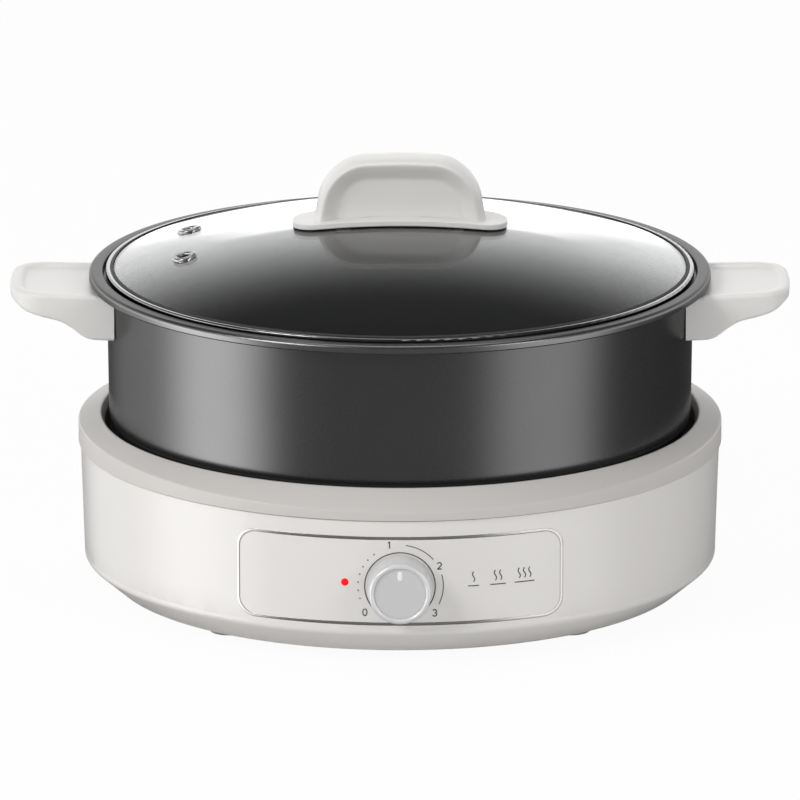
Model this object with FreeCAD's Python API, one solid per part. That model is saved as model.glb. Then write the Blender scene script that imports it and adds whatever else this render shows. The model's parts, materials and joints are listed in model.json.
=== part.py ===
import FreeCAD, Part
import math
import os

from FreeCAD import Placement, Rotation, Vector

# Electric hot pot: a round heating base, a lift-off pot with two handles and a lift-off glass lid.
# Millimetres. The origin is on the pot's axis at the height of the feet; +Z is up and the knob faces -Y.

PARTS = "parts"

# Clearances
FIT = 0.1
RUN = 0.05
HOLE_SLACK = 0.2
HEAD_SLACK = 0.4
GLASS_SLACK = 1.0
STEP_IN = 0.3

# How far cuts run past the faces they open, and how near two points may be
OVER = 1.0
TINY = 1e-6

# Edge rounds, from hair-fine to wide
ROUND_HAIR = 0.3
ROUND_FINE = 0.4
ROUND_LIP = 0.5
ROUND_SMALL = 0.6
ROUND_MEDIUM = 0.8
ROUND_BAND = 0.9
ROUND_EDGE = 1.0
ROUND_LARGE = 1.2
ROUND_WIDE = 1.5
ROUND_PAN = 2.5

# Shares: a slot's corner round of its width, a wire's bend of its shorter run, a cross slot's arm of its
# head, a snap mouth of its stem, and how far the ring's slope is carried past its edge
NEAR_HALF = 0.49
BEND_SHARE = 0.45
SLOT_ARM = 0.7
MOUTH_SHARE = 0.8
EDGE_REACH = 1.25

# Small fittings
SEAT_IN = 1.0
FOOT_TAPER = 1.0
SHAFT_ROOM = 2.5
SHAFT_DEPTH = 8.0
RIVET_R = 1.5
RIVET_HEAD_R = 2.6
RIVET_HEAD_T = 1.0
RIVET_EDGE = 4.0
ELEMENT_ROOM = 0.8
SENSOR_ROOM = 0.5
LED_COLLAR = 1.2
LED_PROUD = 0.5
LED_HOLE_L = 6.0
INLET_SCREW_L = 12.0
INLET_HOLE_L = 14.0
NOSE_ROOT = 4.0
SOCKET_CORNER = 2.0
KNOB_FACE_SLOPE = 0.8
PLATE_CORNER = 3.0
RIM_MARGIN = 0.5
PORT_DEPTH = 4.0
WIRE_IN = 3.0
HANDLE_TIP_BOW = 1.5
HANDLE_TIP_SWEEP = 90.0
SCREW_HEADROOM = 3.0
GRIP_TOP_SWEEP = 200.0
EYELET_LIP = 0.4

# Wires: rises and bends, and the points they pass
WIRE_RISE = 14.0
WIRE_DROP = 12.0
EARTH_BEND = 9.0
EARTH_IN = 16.0
WIRE_WAYS = {
    "right back": (36.0, 96.0, 28.0),
    "right middle": (44.0, 20.0, 20.0),
    "right front": (36.0, -70.0, 22.0),
    "left front": (-38.0, -70.0, 22.0),
    "left middle": (-46.0, 10.0, 20.0),
    "from left end": (-16.0, -10.0, -14.0),
    "from right end": (8.0, 18.0, -4.0),
}

# Heights of the main levels
FOOT_H = 5.0
SEAM_Z = 74.8
POT_FLOOR_Z = 70.0
RIM_Z = 162.0
DOME_RISE = 25.0
GRIP_TOP_RISE = 58.0

# Base shell
SHELL_R_SEAM = 159.7
SHELL_R_LOW = 157.5
SHELL_ROUND = 12.0
SHELL_WALL = 2.6
COVER_HOLE_R = 98.0
COVER_LEDGE_W = 8.0
COVER_T = 2.0

# Top ring round the well
RING_R = 160.75
RING_SIDE_Z = 86.2
RING_DIP = 6.7
RING_CREST_Z = 89.3
RING_CREST_R = 149.5
RING_CREST_W = 1.0
RING_LIP_H = 4.8
RING_WALL = 2.4
WELL_R = 147.5
SHELF_R = 134.0
SHELF_Z = 63.0
SHELF_T = 2.5
RING_EDGE_POINTS = 48

# Control panel in the front of the shell
PANEL_HALF_W = 78.4
PANEL_LOW_Z = 23.2
PANEL_TOP_Z = 65.4
PANEL_CORNER = 8.0
PANEL_GROOVE = 1.6
PANEL_FLANGE = 2.8
PANEL_FLANGE_T = 2.0
KNOB_Z = 41.7
LED_X = -27.0
LED_Z = 43.4
LED_R = 1.85

# Knob
KNOB_R_BACK = 16.3
KNOB_R_FRONT = 15.3
KNOB_H = 14.0
KNOB_GAP = 0.7
KNOB_FACE_R = 12.9
KNOB_FACE_DROP = 1.0
KNOB_WALL = 2.4
KNOB_HUB_R = 6.0
KNOB_SHAFT_R = 3.0
MARKER_W = 2.3
MARKER_L = 4.7
MARKER_RISE = 8.9
MARKER_DEPTH = 1.2

# Thermostat behind the panel
STAT_HALF_W = 13.0
STAT_HALF_H = 11.0
STAT_DEPTH = 24.0
STAT_BUSH_R = 5.0
STAT_BUSH_L = 3.8
STAT_NUT_R = 8.0
STAT_NUT_T = 2.0
STAT_PLATE_T = 1.2
STAT_PLATE_HALF_W = 11.0
STAT_POST_R = 4.0
STAT_POST_RISE = 15.0
STAT_POST_L = 4.7
TAB_W = 6.3
TAB_T = 0.8
TAB_L = 8.0
STAT_TAB_X = 6.0

# Well pan, heating plate and heating element
PAN_T = 1.0
PAN_FLOOR_Z = 54.0
PLATE_R = 95.0
PLATE_T = 9.0
PLATE_BOSS_R = 6.0
PLATE_BOSS_AT = 82.0
PLATE_BOSSES = 3
ELEMENT_AT = 62.0
ELEMENT_R = 4.2
ELEMENT_GAP_DEG = 30.0
ELEMENT_LEG_L = 11.0

# Sprung sensor in the middle of the plate
SENSOR_R = 15.0
SENSOR_WALL = 1.0
SENSOR_TOP_T = 2.0
SENSOR_SKIRT_H = 13.0
STEM_R = 4.0
STEM_LOW_Z = 37.5
STEM_GROOVE = 0.6
CLIP_R = 6.5
CLIP_T = 0.8
GUIDE_FLOOR_Z = 43.0
GUIDE_GAP = 1.0
GUIDE_FLANGE = 10.0
SPRING_R = 9.0
SPRING_WIRE_R = 0.6
RIVETS = 3

# Inlet at the back
INLET_Z = 38.0
HOOD_BACK_Y = 170.5
HOOD_HALF_W = 24.0
HOOD_HALF_H = 16.0
HOOD_CORNER = 6.0
SOCKET_HALF_W = 21.0
SOCKET_HALF_H = 12.6
SOCKET_FRONT_Y = 148.0
NOSE_HALF_W = 14.0
NOSE_HALF_H = 10.0
NOSE_CORNER = 2.0
RECESS_HALF_W = 12.3
RECESS_HALF_H = 8.3
RECESS_CUT = 5.0
RECESS_DEPTH = 18.0
PIN_W = 2.0
PIN_H = 4.0
PIN_PITCH = 7.0
PIN_DROP = 2.0
PIN_SETBACK = 4.8
PIN_TAIL = 6.0

# Feet, posts and screws
FOOT_R = 10.5
FOOT_AT = 124.0
FOOT_DEG = 47.0
FOOT_PEG_R = 2.9
FOOT_PEG_H = 4.0
POST_AT = 141.0
POST_R = 5.0
POST_DEGREES = (30.0, 150.0, 210.0, 330.0)
POST_SEAT_R = 8.0
POST_SEAT_H = 3.4
PAN_SCREW_DEGREES = (45.0, 135.0, 225.0, 315.0)
PAN_BOSS_R = 4.0
PAN_BOSS_H = 8.5
COVER_SCREW_DEGREES = (0.0, 90.0, 180.0, 270.0)
COVER_BOSS_R = 4.0
COVER_BOSS_H = 7.5
VENT_W = 3.0
VENT_ROWS = ((58.0, 22.0, 24), (84.0, 14.0, 36))

# Pot
POT_R_TOP = 146.2
POT_R_LOW = 145.2
POT_WALL = 2.0
POT_BEND = 24.0
RIM_R = 155.0
RIM_T = 4.4
RIM_STEP_R = 148.2
RIM_STEP_Z_DROP = 3.2

# Side handles, measured down from the rim's top and out from the axis
HANDLE_TIP_X = 194.5
HANDLE_TIP_HALF_W = 32.5
HANDLE_ROOT_HALF_W = 37.0
HANDLE_TIP_ROUND = 17.0
HANDLE_ROOT_X = 138.0
HANDLE_TIP_DROP = 5.0
HANDLE_ROOT_DROP = 6.4
HANDLE_UNDER = (
    (194.5, 10.0, 0.0),
    (187.0, 14.6, 9.0),
    (168.5, 18.6, 14.0),
    (157.0, 27.6, 6.0),
    (138.0, 28.4, 0.0),
)
HANDLE_DISH_BORDER = 5.0
HANDLE_DISH_DEPTH = 1.3
HANDLE_EDGE_ROUND = 1.6
TONGUE_HALF_W = 14.0
TONGUE_OUT = 25.0
TONGUE_T = 2.0
TONGUE_DROP = 12.0
TONGUE_FLANGE_T = 1.5
TONGUE_FLANGE_H = 12.0
HANDLE_SCREW_X = 163.0
HANDLE_SCREW_SEAT_DROP = 17.0

# Lid
LID_R = 146.7
LID_BAND_IN_R = 144.35
LID_BAND_RISE = 1.5
LID_LIP_R = 141.5
LID_SKIRT_T = 1.0
LID_SKIRT_GAP = 1.0
LID_SKIRT_H = 6.0
GLASS_T = 3.5
GLASS_R = 145.0
SEAL_W = 1.4
SEAL_T = 0.5
EYELETS = ((-105.5, 33.0), (-107.0, -23.0))
EYELET_R = 6.3
EYELET_TUBE_R = 4.2
EYELET_BORE_R = 2.8
EYELET_T = 0.8

# Lid grip
GRIP_HALF_W = 43.0
GRIP_SHOULDER_X = 36.8
GRIP_SHOULDER_DROP = 1.0
GRIP_ROUND = 20.0
GRIP_HALF_D = 12.0
GRIP_EDGE = 3.0
GRIP_RIM_W = 9.0
GRIP_RECESS = 5.0
FOOTPLATE_HALF_L = 53.5
FOOTPLATE_HALF_W = 15.0
FOOTPLATE_ROUND = 13.0
FOOTPLATE_T = 2.9
PAD_T = 0.4
PAD_MARGIN = 1.0
LID_SCREW_X = 28.0
LID_SCREW_REACH = 13.0
WASHER_R = 6.0
WASHER_T = 1.0

# Screws: head radius, head height, shaft radius, length
SCREW_M4 = (3.6, 2.4, 1.9, 10.0)
SCREW_LONG = (4.0, 2.4, 1.8, 20.0)
SCREW_PAN = (3.0, 1.8, 1.5, 9.0)
SCREW_SMALL = (2.8, 1.8, 1.4, 4.0)
SCREW_LID = (3.6, 2.2, 1.9, 0.0)
SLOT_W = 0.8
SLOT_DEPTH = 1.2

# Small electrical pieces under the pan
FUSE_R = 2.0
FUSE_HALF_L = 8.0
FUSE_Y = 95.0
CLIP_SHEET = 0.6
BLOCK_Y = 119.0
BLOCK_HALF_L = 18.0
BLOCK_HALF_W = 7.0
BLOCK_H = 14.0
BLOCK_PITCH = 8.0
WIRE_R = 1.1
LAMP_R = 2.2
LAMP_L = 9.0

# Worked out from the values above
SHELL_FLOOR_Z = FOOT_H
RIM_UNDER_Z = RIM_Z - RIM_T
RIM_STEP_Z = RIM_Z - RIM_STEP_Z_DROP
POT_IN_R_TOP = POT_R_TOP - POT_WALL
DOME_TOP_Z = RIM_Z + DOME_RISE
BAND_TOP_Z = RIM_Z + LID_BAND_RISE
DOME_CHORD_RISE = DOME_TOP_Z - (BAND_TOP_Z - 0.3)
DOME_R = (LID_BAND_IN_R ** 2 + DOME_CHORD_RISE ** 2) / (2 * DOME_CHORD_RISE)
DOME_CENTRE_Z = DOME_TOP_Z - DOME_R
GRIP_TOP_Z = RIM_Z + GRIP_TOP_RISE
PANEL_IN = SHELL_WALL + STEP_IN + PANEL_FLANGE_T
PAN_TOP_Z = SHELF_Z + PAN_T
PLATE_UNDER_Z = POT_FLOOR_Z - PLATE_T
LEDGE_Z = SHELL_FLOOR_Z + COVER_T
LEDGE_R = COVER_HOLE_R + COVER_LEDGE_W
SHELL_IN_Z = SHELL_FLOOR_Z + SHELL_WALL
POST_LOW_Z = SHELL_IN_Z + POST_SEAT_H


def polar(radius, degrees, z=0.0):
    """Point at this radius and angle about the axis."""
    turn = math.radians(degrees)
    return Vector(radius * math.cos(turn), radius * math.sin(turn), z)


def path_edges(points, rounds, closed):
    """Straight runs joined by tangent arcs; a corner whose round is 0 stays sharp."""
    stops = []
    last = len(points) - 1
    for i, corner in enumerate(points):
        if rounds[i] == 0 or (not closed and i in (0, last)):
            stops.append((corner, None, corner))
            continue
        back = (points[i - 1] - corner).normalize()
        ahead = (points[(i + 1) % len(points)] - corner).normalize()
        half = back.getAngle(ahead) / 2
        run = rounds[i] / math.tan(half)
        middle = (back + ahead).normalize() * (rounds[i] / math.sin(half) - rounds[i])
        stops.append((corner + back * run, corner + middle, corner + ahead * run))
    edges = []
    for i, (start, middle, end) in enumerate(stops):
        if middle is not None:
            edges.append(Part.Arc(start, middle, end).toShape())
        if i == last and not closed:
            break
        following = stops[(i + 1) % len(stops)][0]
        if end.distanceToPoint(following) > TINY:
            edges.append(Part.LineSegment(end, following).toShape())
    return edges


def outline(points, to_space):
    """Face inside a closed 2-D outline; a point's third number is the round of its corner."""
    placed = [to_space(p[0], p[1]) for p in points]
    rounds = [p[2] if len(p) > 2 else 0.0 for p in points]
    return Part.Face(Part.Wire(path_edges(placed, rounds, True)))


def turned(points, degrees=360.0):
    """Solid turned about the Z axis from an outline of (radius, height) points."""
    face = outline(points, lambda r, z: Vector(r, 0, z))
    return face.revolve(Vector(0, 0, 0), Vector(0, 0, 1), degrees)


def raised(points, low_z, high_z):
    """Solid pulled up from an outline of (x, y) points."""
    return outline(points, lambda x, y: Vector(x, y, low_z)).extrude(Vector(0, 0, high_z - low_z))


def deepened(points, front_y, back_y):
    """Solid pulled along Y from an outline of (x, z) points."""
    return outline(points, lambda x, z: Vector(x, front_y, z)).extrude(Vector(0, back_y - front_y, 0))


def rectangle(x, y, half_w, half_h, corner=0.0):
    """Outline points of a rectangle with rounded corners."""
    return [
        (x - half_w, y - half_h, corner),
        (x + half_w, y - half_h, corner),
        (x + half_w, y + half_h, corner),
        (x - half_w, y + half_h, corner),
    ]


def rod(radius, start, end):
    """Cylinder between two points."""
    return Part.makeCylinder(radius, (end - start).Length, start, end - start)


def tube(points, radius):
    """Round tube along straight runs whose bends are as wide as the runs allow."""
    rounds = [0.0]
    for before, corner, after in zip(points, points[1:], points[2:]):
        back = before - corner
        ahead = after - corner
        half = back.getAngle(ahead) / 2
        rounds.append(BEND_SHARE * min(back.Length, ahead.Length) * math.tan(half))
    rounds.append(0.0)
    path = Part.Wire(path_edges(points, rounds, False))
    ring = Part.Wire(Part.Circle(points[0], points[1] - points[0], radius).toShape())
    return path.makePipeShell([ring], True, False)


def aimed(solid, seat, direction):
    """Copy of a solid built along +Z from the origin, moved to seat and turned to direction."""
    copy = solid.copy()
    copy.Placement = Placement(seat, Rotation(Vector(0, 0, 1), direction))
    return copy


def screw(size, seat, direction, length=None):
    """Screw with a crossed slot; its head bears at seat and its shaft runs along direction."""
    head_r, head_h, shaft_r, usual = size
    reach = length or usual
    body = rod(head_r, Vector(0, 0, -head_h), Vector(0, 0, 0))
    body = body.fuse(rod(shaft_r, Vector(0, 0, -head_h / 2), Vector(0, 0, reach)))
    arm = SLOT_ARM * head_r
    deep = Vector(-arm, -SLOT_W / 2, -head_h)
    wide = Vector(-SLOT_W / 2, -arm, -head_h)
    body = body.cut(Part.makeBox(2 * arm, SLOT_W, SLOT_DEPTH, deep))
    body = body.cut(Part.makeBox(SLOT_W, 2 * arm, SLOT_DEPTH, wide))
    return aimed(body, seat, direction)


def save(node, *solids):
    """Writes one node: a solid, or a group of separate solids."""
    loose = [s for shape in solids for s in shape.Solids]
    shape = loose[0] if len(loose) == 1 else Part.makeCompound(loose)
    shape.exportStep(os.path.join(PARTS, node + ".step"))


def wall_r(z):
    """Outside radius of the shell's sloping wall at a height."""
    share = (z - SHELL_FLOOR_Z) / (SEAM_Z - SHELL_FLOOR_Z)
    return SHELL_R_LOW + (SHELL_R_SEAM - SHELL_R_LOW) * share


def wall_side(depth):
    """Outline points of the shell's outside, moved in by a depth, from the floor to the seam."""
    return [
        (SHELL_R_LOW - depth, SHELL_FLOOR_Z + depth, SHELL_ROUND - depth),
        (SHELL_R_SEAM - depth, SEAM_Z, 0.0),
    ]


def wall_band(out_depth, in_depth):
    """Turned band of the wall between two depths below its outside."""
    outer = [(LEDGE_R + SHELL_WALL, SHELL_FLOOR_Z + out_depth)] + wall_side(out_depth)
    inner = [(LEDGE_R + SHELL_WALL, SHELL_FLOOR_Z + in_depth)] + wall_side(in_depth)
    return turned(outer + inner[::-1])


def panel_outline(margin):
    """Panel's outline seen from the front, grown by a margin."""
    middle = (PANEL_LOW_Z + PANEL_TOP_Z) / 2
    half_h = (PANEL_TOP_Z - PANEL_LOW_Z) / 2
    return rectangle(0, middle, PANEL_HALF_W + margin, half_h + margin, PANEL_CORNER + margin)


def front_block(points):
    """Block from an outline seen from the front, through the front wall."""
    return deepened(points, -SHELL_R_SEAM - SHELL_WALL, -SHELL_R_SEAM / 2)


def screw_holes(at, degrees, radius, low_z, high_z):
    """Round holes on a circle about the axis."""
    return [rod(radius, polar(at, d, low_z), polar(at, d, high_z)) for d in degrees]


def foot_degrees():
    """Angles of the four feet, alike at the front and at the back."""
    return (FOOT_DEG, 180 - FOOT_DEG, 180 + FOOT_DEG, 360 - FOOT_DEG)


def hood():
    """Raised hood round the inlet, with a soft back edge."""
    block = deepened(
        rectangle(0, INLET_Z, HOOD_HALF_W, HOOD_HALF_H, HOOD_CORNER), SOCKET_FRONT_Y, HOOD_BACK_Y
    )
    edges = [e for e in block.Edges if e.BoundBox.YMin > HOOD_BACK_Y - FIT]
    return block.makeFillet(ROUND_WIDE, edges)


def base_shell():
    """White outer shell: wall and floor in one, with the panel's window, the hood and screw posts."""
    shell = turned(
        [(COVER_HOLE_R, LEDGE_Z), (LEDGE_R, LEDGE_Z), (LEDGE_R, SHELL_FLOOR_Z)]
        + wall_side(0.0)
        + wall_side(SHELL_WALL)[::-1]
        + [
            (LEDGE_R + SHELL_WALL, SHELL_IN_Z),
            (LEDGE_R + SHELL_WALL, LEDGE_Z + SHELL_WALL),
            (COVER_HOLE_R, LEDGE_Z + SHELL_WALL),
        ]
    )
    boss_at = COVER_HOLE_R + COVER_LEDGE_W / 2
    boss_low = LEDGE_Z + SHELL_WALL / 2
    boss_high = LEDGE_Z + SHELL_WALL + COVER_BOSS_H
    adds = [hood()]
    adds += screw_holes(POST_AT, POST_DEGREES, POST_SEAT_R, SHELL_IN_Z - OVER, POST_LOW_Z)
    adds += screw_holes(boss_at, COVER_SCREW_DEGREES, COVER_BOSS_R, boss_low, boss_high)
    shell = shell.fuse(adds).removeSplitter()
    cavity = deepened(
        rectangle(0, INLET_Z, HOOD_HALF_W - SHELL_WALL, HOOD_HALF_H - SHELL_WALL, HOOD_CORNER / 2),
        SOCKET_FRONT_Y - SHELL_WALL,
        HOOD_BACK_Y - SHELL_WALL,
    )
    window = deepened(
        rectangle(0, INLET_Z, NOSE_HALF_W + FIT, NOSE_HALF_H + FIT, NOSE_CORNER),
        SOCKET_FRONT_Y,
        HOOD_BACK_Y + OVER,
    )
    head_room = SHELL_FLOOR_Z + SCREW_LONG[1] + SEAT_IN
    cuts = [front_block(panel_outline(PANEL_GROOVE)), cavity, window]
    cuts += inlet_screw_holes(SCREW_SMALL[2] + RUN, HOOD_BACK_Y + OVER)
    cuts += screw_holes(POST_AT, POST_DEGREES, SCREW_LONG[0] + HEAD_SLACK, SHELL_FLOOR_Z - OVER, head_room)
    cuts += screw_holes(POST_AT, POST_DEGREES, SCREW_LONG[2] + HOLE_SLACK, SHELL_FLOOR_Z, POST_LOW_Z + OVER)
    cuts += screw_holes(boss_at, COVER_SCREW_DEGREES, SCREW_PAN[2] + RUN, LEDGE_Z - OVER, boss_high - OVER)
    cuts += screw_holes(FOOT_AT, foot_degrees(), FOOT_PEG_R + RUN, SHELL_FLOOR_Z - OVER, SHELL_IN_Z + OVER)
    return shell.cut(cuts)


def control_panel():
    """Curved panel in the window, with a flange behind the wall, thermostat posts and holes."""
    face = wall_band(0.0, PANEL_IN).common(front_block(panel_outline(0.0)))
    flange = wall_band(SHELL_WALL + STEP_IN, PANEL_IN).common(
        front_block(panel_outline(PANEL_GROOVE + PANEL_FLANGE))
    )
    back_y = PANEL_IN - wall_r(KNOB_Z)
    posts = [
        rod(STAT_POST_R, Vector(0, back_y - OVER, KNOB_Z + rise), Vector(
            0, back_y + STAT_POST_L, KNOB_Z + rise
        ))
        for rise in (-STAT_POST_RISE, STAT_POST_RISE)
    ]
    panel = face.fuse([flange] + posts).removeSplitter()
    front_y = -SHELL_R_SEAM - OVER
    shaft_hole = rod(KNOB_SHAFT_R + SHAFT_ROOM, Vector(0, front_y, KNOB_Z), Vector(0, back_y + OVER, KNOB_Z))
    led_hole = rod(LED_R + RUN, Vector(LED_X, front_y, LED_Z), Vector(LED_X, back_y + LED_HOLE_L, LED_Z))
    pilots = [
        rod(
            SCREW_SMALL[2] + RUN,
            Vector(0, back_y + STAT_POST_L - SCREW_SMALL[3], KNOB_Z + rise),
            Vector(0, back_y + STAT_POST_L + OVER, KNOB_Z + rise),
        )
        for rise in (-STAT_POST_RISE, STAT_POST_RISE)
    ]
    return panel.cut([shaft_hole, led_hole] + pilots)


def ring_edge_z(degrees):
    """Height of the ring's outer top edge: level at the back, dipping by a squared cosine to the front."""
    front = max(0.0, -math.sin(math.radians(degrees)))
    return RING_SIDE_Z - RING_DIP * front ** 2


def ring_top_cutter():
    """Block above the ring's sloping top, whose outer edge is a closed curve that dips at the front."""
    crest_r = RING_CREST_R + RING_CREST_W
    reach = EDGE_REACH
    crest = Part.Circle(Vector(0, 0, RING_CREST_Z), Vector(0, 0, 1), crest_r).toShape()
    points = []
    for i in range(RING_EDGE_POINTS):
        degrees = 360.0 * i / RING_EDGE_POINTS
        fall = RING_CREST_Z - ring_edge_z(degrees)
        points.append(polar(crest_r + (RING_R - crest_r) * reach, degrees, RING_CREST_Z - fall * reach))
    edge = Part.BSplineCurve()
    edge.interpolate(Points=points, PeriodicFlag=True)
    return Part.makeRuledSurface(crest, edge.toShape()).extrude(Vector(0, 0, RING_CREST_Z))


def top_ring():
    """Grey ring over the seam: sloping top, skirt down into the well, shelf for the pan, screw posts."""
    lip_r = SHELL_R_SEAM - SHELL_WALL - STEP_IN
    skirt_out = WELL_R + RING_WALL
    under = RING_CREST_Z - 2 * RING_WALL
    ring = turned([
        (RING_CREST_R, RING_CREST_Z, ROUND_FINE),
        (RING_R, RING_CREST_Z),
        (RING_R, SEAM_Z),
        (lip_r, SEAM_Z),
        (lip_r, SEAM_Z - RING_LIP_H),
        (lip_r - RING_WALL, SEAM_Z - RING_LIP_H),
        (lip_r - RING_WALL, SEAM_Z + RING_WALL),
        (skirt_out, under),
        (skirt_out, SHELF_Z - SHELF_T),
        (SHELF_R, SHELF_Z - SHELF_T),
        (SHELF_R, SHELF_Z),
        (WELL_R, SHELF_Z),
        (WELL_R, RING_CREST_Z - RING_WALL),
    ])
    shelf_mid = SHELF_Z - SHELF_T / 2
    boss_low = SHELF_Z - SHELF_T - PAN_BOSS_H
    posts = screw_holes(POST_AT, POST_DEGREES, POST_R, POST_LOW_Z + FIT, shelf_mid)
    bosses = screw_holes(POST_AT, PAN_SCREW_DEGREES, PAN_BOSS_R, boss_low, shelf_mid)
    ring = ring.cut(ring_top_cutter()).fuse(posts + bosses).removeSplitter()
    pilot_high = SHELL_FLOOR_Z + SCREW_LONG[1] + SEAT_IN + SCREW_LONG[3] + OVER
    holes = screw_holes(POST_AT, POST_DEGREES, SCREW_LONG[2] + RUN, POST_LOW_Z, pilot_high)
    holes += screw_holes(POST_AT, PAN_SCREW_DEGREES, SCREW_PAN[2] + RUN, boss_low + OVER, SHELF_Z + OVER)
    return ring.cut(holes)


def vent_slots():
    """Rows of radial slots with round ends through the bottom cover."""
    slots = []
    for at, length, count in VENT_ROWS:
        shape = raised(
            rectangle(at, 0, length / 2, VENT_W / 2, VENT_W * NEAR_HALF),
            LEDGE_Z - COVER_T - OVER,
            LEDGE_Z + OVER,
        )
        for i in range(count):
            slot = shape.copy()
            slot.rotate(Vector(0, 0, 0), Vector(0, 0, 1), 360.0 * i / count)
            slots.append(slot)
    return slots


def bottom_cover():
    """Round cover under the base, flush with the shell's floor, with vents and screw holes."""
    disc = rod(LEDGE_R - STEP_IN, Vector(0, 0, SHELL_FLOOR_Z), Vector(0, 0, LEDGE_Z))
    boss_at = COVER_HOLE_R + COVER_LEDGE_W / 2
    holes = screw_holes(
        boss_at, COVER_SCREW_DEGREES, SCREW_PAN[2] + HOLE_SLACK, SHELL_FLOOR_Z - OVER, LEDGE_Z + OVER
    )
    return disc.cut(vent_slots() + holes)


def cover_screws():
    """Screws up through the bottom cover."""
    at = COVER_HOLE_R + COVER_LEDGE_W / 2
    return [
        screw(SCREW_PAN, polar(at, d, SHELL_FLOOR_Z), Vector(0, 0, 1), SCREW_PAN[3] - OVER)
        for d in COVER_SCREW_DEGREES
    ]


def base_screws():
    """Long screws up through the shell's floor into the ring's posts."""
    seat_z = SHELL_FLOOR_Z + SCREW_LONG[1] + SEAT_IN
    return [screw(SCREW_LONG, polar(POST_AT, d, seat_z), Vector(0, 0, 1)) for d in POST_DEGREES]


def rubber_feet():
    """Rubber pads with pegs up into the shell's floor."""
    pad = turned([
        (0, 0),
        (FOOT_R - FOOT_TAPER, 0, FOOT_TAPER),
        (FOOT_R, FOOT_H),
        (FOOT_PEG_R, FOOT_H),
        (FOOT_PEG_R, FOOT_H + FOOT_PEG_H),
        (0, FOOT_H + FOOT_PEG_H),
    ])
    return [aimed(pad, polar(FOOT_AT, d), Vector(0, 0, 1)) for d in foot_degrees()]


def plate_boss_degrees():
    """Angles of the plate's bosses, clear of the element's two legs."""
    return [270 + 360.0 * i / PLATE_BOSSES for i in range(PLATE_BOSSES)]


def element_ends():
    """Angles of the heating element's two ends, either side of the back."""
    return (90 - ELEMENT_GAP_DEG / 2, 90 + ELEMENT_GAP_DEG / 2)


def rivet_degrees():
    """Angles of the guide's rivets."""
    return [30 + 360.0 * i / RIVETS for i in range(RIVETS)]


def well_pan():
    """Sheet pan that hangs from the ring's shelf and closes the well round the heating plate."""
    wall = SHELF_R - STEP_IN
    hole = SENSOR_R + GUIDE_GAP
    pan = turned([
        (hole, PAN_FLOOR_Z),
        (wall, PAN_FLOOR_Z, ROUND_PAN),
        (wall, SHELF_Z),
        (WELL_R - STEP_IN, SHELF_Z),
        (WELL_R - STEP_IN, PAN_TOP_Z),
        (wall - PAN_T, PAN_TOP_Z),
        (wall - PAN_T, PAN_FLOOR_Z + PAN_T, ROUND_WIDE),
        (hole, PAN_FLOOR_Z + PAN_T),
    ])
    low = PAN_FLOOR_Z - OVER
    high = PAN_FLOOR_Z + PAN_T + OVER
    rivet_at = hole + GUIDE_FLANGE - RIVET_EDGE
    holes = screw_holes(
        POST_AT, PAN_SCREW_DEGREES, SCREW_PAN[2] + HOLE_SLACK, SHELF_Z - OVER, PAN_TOP_Z + OVER
    )
    holes += screw_holes(PLATE_BOSS_AT, plate_boss_degrees(), SCREW_M4[2] + HOLE_SLACK, low, high)
    holes += screw_holes(ELEMENT_AT, element_ends(), ELEMENT_R + ELEMENT_ROOM, low, high)
    holes += screw_holes(rivet_at, rivet_degrees(), RIVET_R + RUN, low, high)
    return pan.cut(holes)


def pan_screws():
    """Screws down through the pan's flange into the ring's shelf."""
    return [screw(SCREW_PAN, polar(POST_AT, d, PAN_TOP_Z), Vector(0, 0, -1)) for d in PAN_SCREW_DEGREES]


def element_loop(radius):
    """Open ring of the heating element, round the axis at the plate's underside."""
    start = 90 + ELEMENT_GAP_DEG / 2
    profile = Part.Circle(polar(ELEMENT_AT, start, PLATE_UNDER_Z), polar(1, start + 90), radius)
    face = Part.Face(Part.Wire(profile.toShape()))
    return face.revolve(Vector(0, 0, 0), Vector(0, 0, 1), 360 - ELEMENT_GAP_DEG)


def element_solid(radius):
    """Heating element's loop with a leg down from each end."""
    low = PLATE_UNDER_Z - ELEMENT_LEG_L
    legs = [
        rod(radius, polar(ELEMENT_AT, d, low), polar(ELEMENT_AT, d, PLATE_UNDER_Z)) for d in element_ends()
    ]
    knees = [Part.makeSphere(radius, polar(ELEMENT_AT, d, PLATE_UNDER_Z)) for d in element_ends()]
    return element_loop(radius).fuse(legs + knees)


def heating_plate():
    """Cast plate under the pot: flat top, groove for the element, hole for the sensor, three bosses."""
    plate = turned([
        (SENSOR_R + SENSOR_ROOM, PLATE_UNDER_Z),
        (PLATE_R - OVER, PLATE_UNDER_Z),
        (PLATE_R, PLATE_UNDER_Z + OVER),
        (PLATE_R, POT_FLOOR_Z, ROUND_WIDE),
        (SENSOR_R + SENSOR_ROOM, POT_FLOOR_Z, ROUND_SMALL),
    ])
    bosses = screw_holes(
        PLATE_BOSS_AT, plate_boss_degrees(), PLATE_BOSS_R, PAN_FLOOR_Z + PAN_T, PLATE_UNDER_Z + OVER
    )
    pilots = screw_holes(
        PLATE_BOSS_AT, plate_boss_degrees(), SCREW_M4[2] + RUN, PAN_FLOOR_Z, PAN_FLOOR_Z + SCREW_M4[3] + OVER
    )
    return plate.fuse(bosses).removeSplitter().cut([element_solid(ELEMENT_R + RUN)] + pilots)


def heating_element():
    """Tubular element cast into the plate's underside, with a flat tab on each leg."""
    low = PLATE_UNDER_Z - ELEMENT_LEG_L
    tabs = []
    for d in element_ends():
        foot = polar(ELEMENT_AT, d, low - TAB_L)
        tabs.append(Part.makeBox(TAB_W, TAB_T, TAB_L + OVER, foot - Vector(TAB_W / 2, TAB_T / 2, 0)))
    return element_solid(ELEMENT_R).fuse(tabs)


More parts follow.
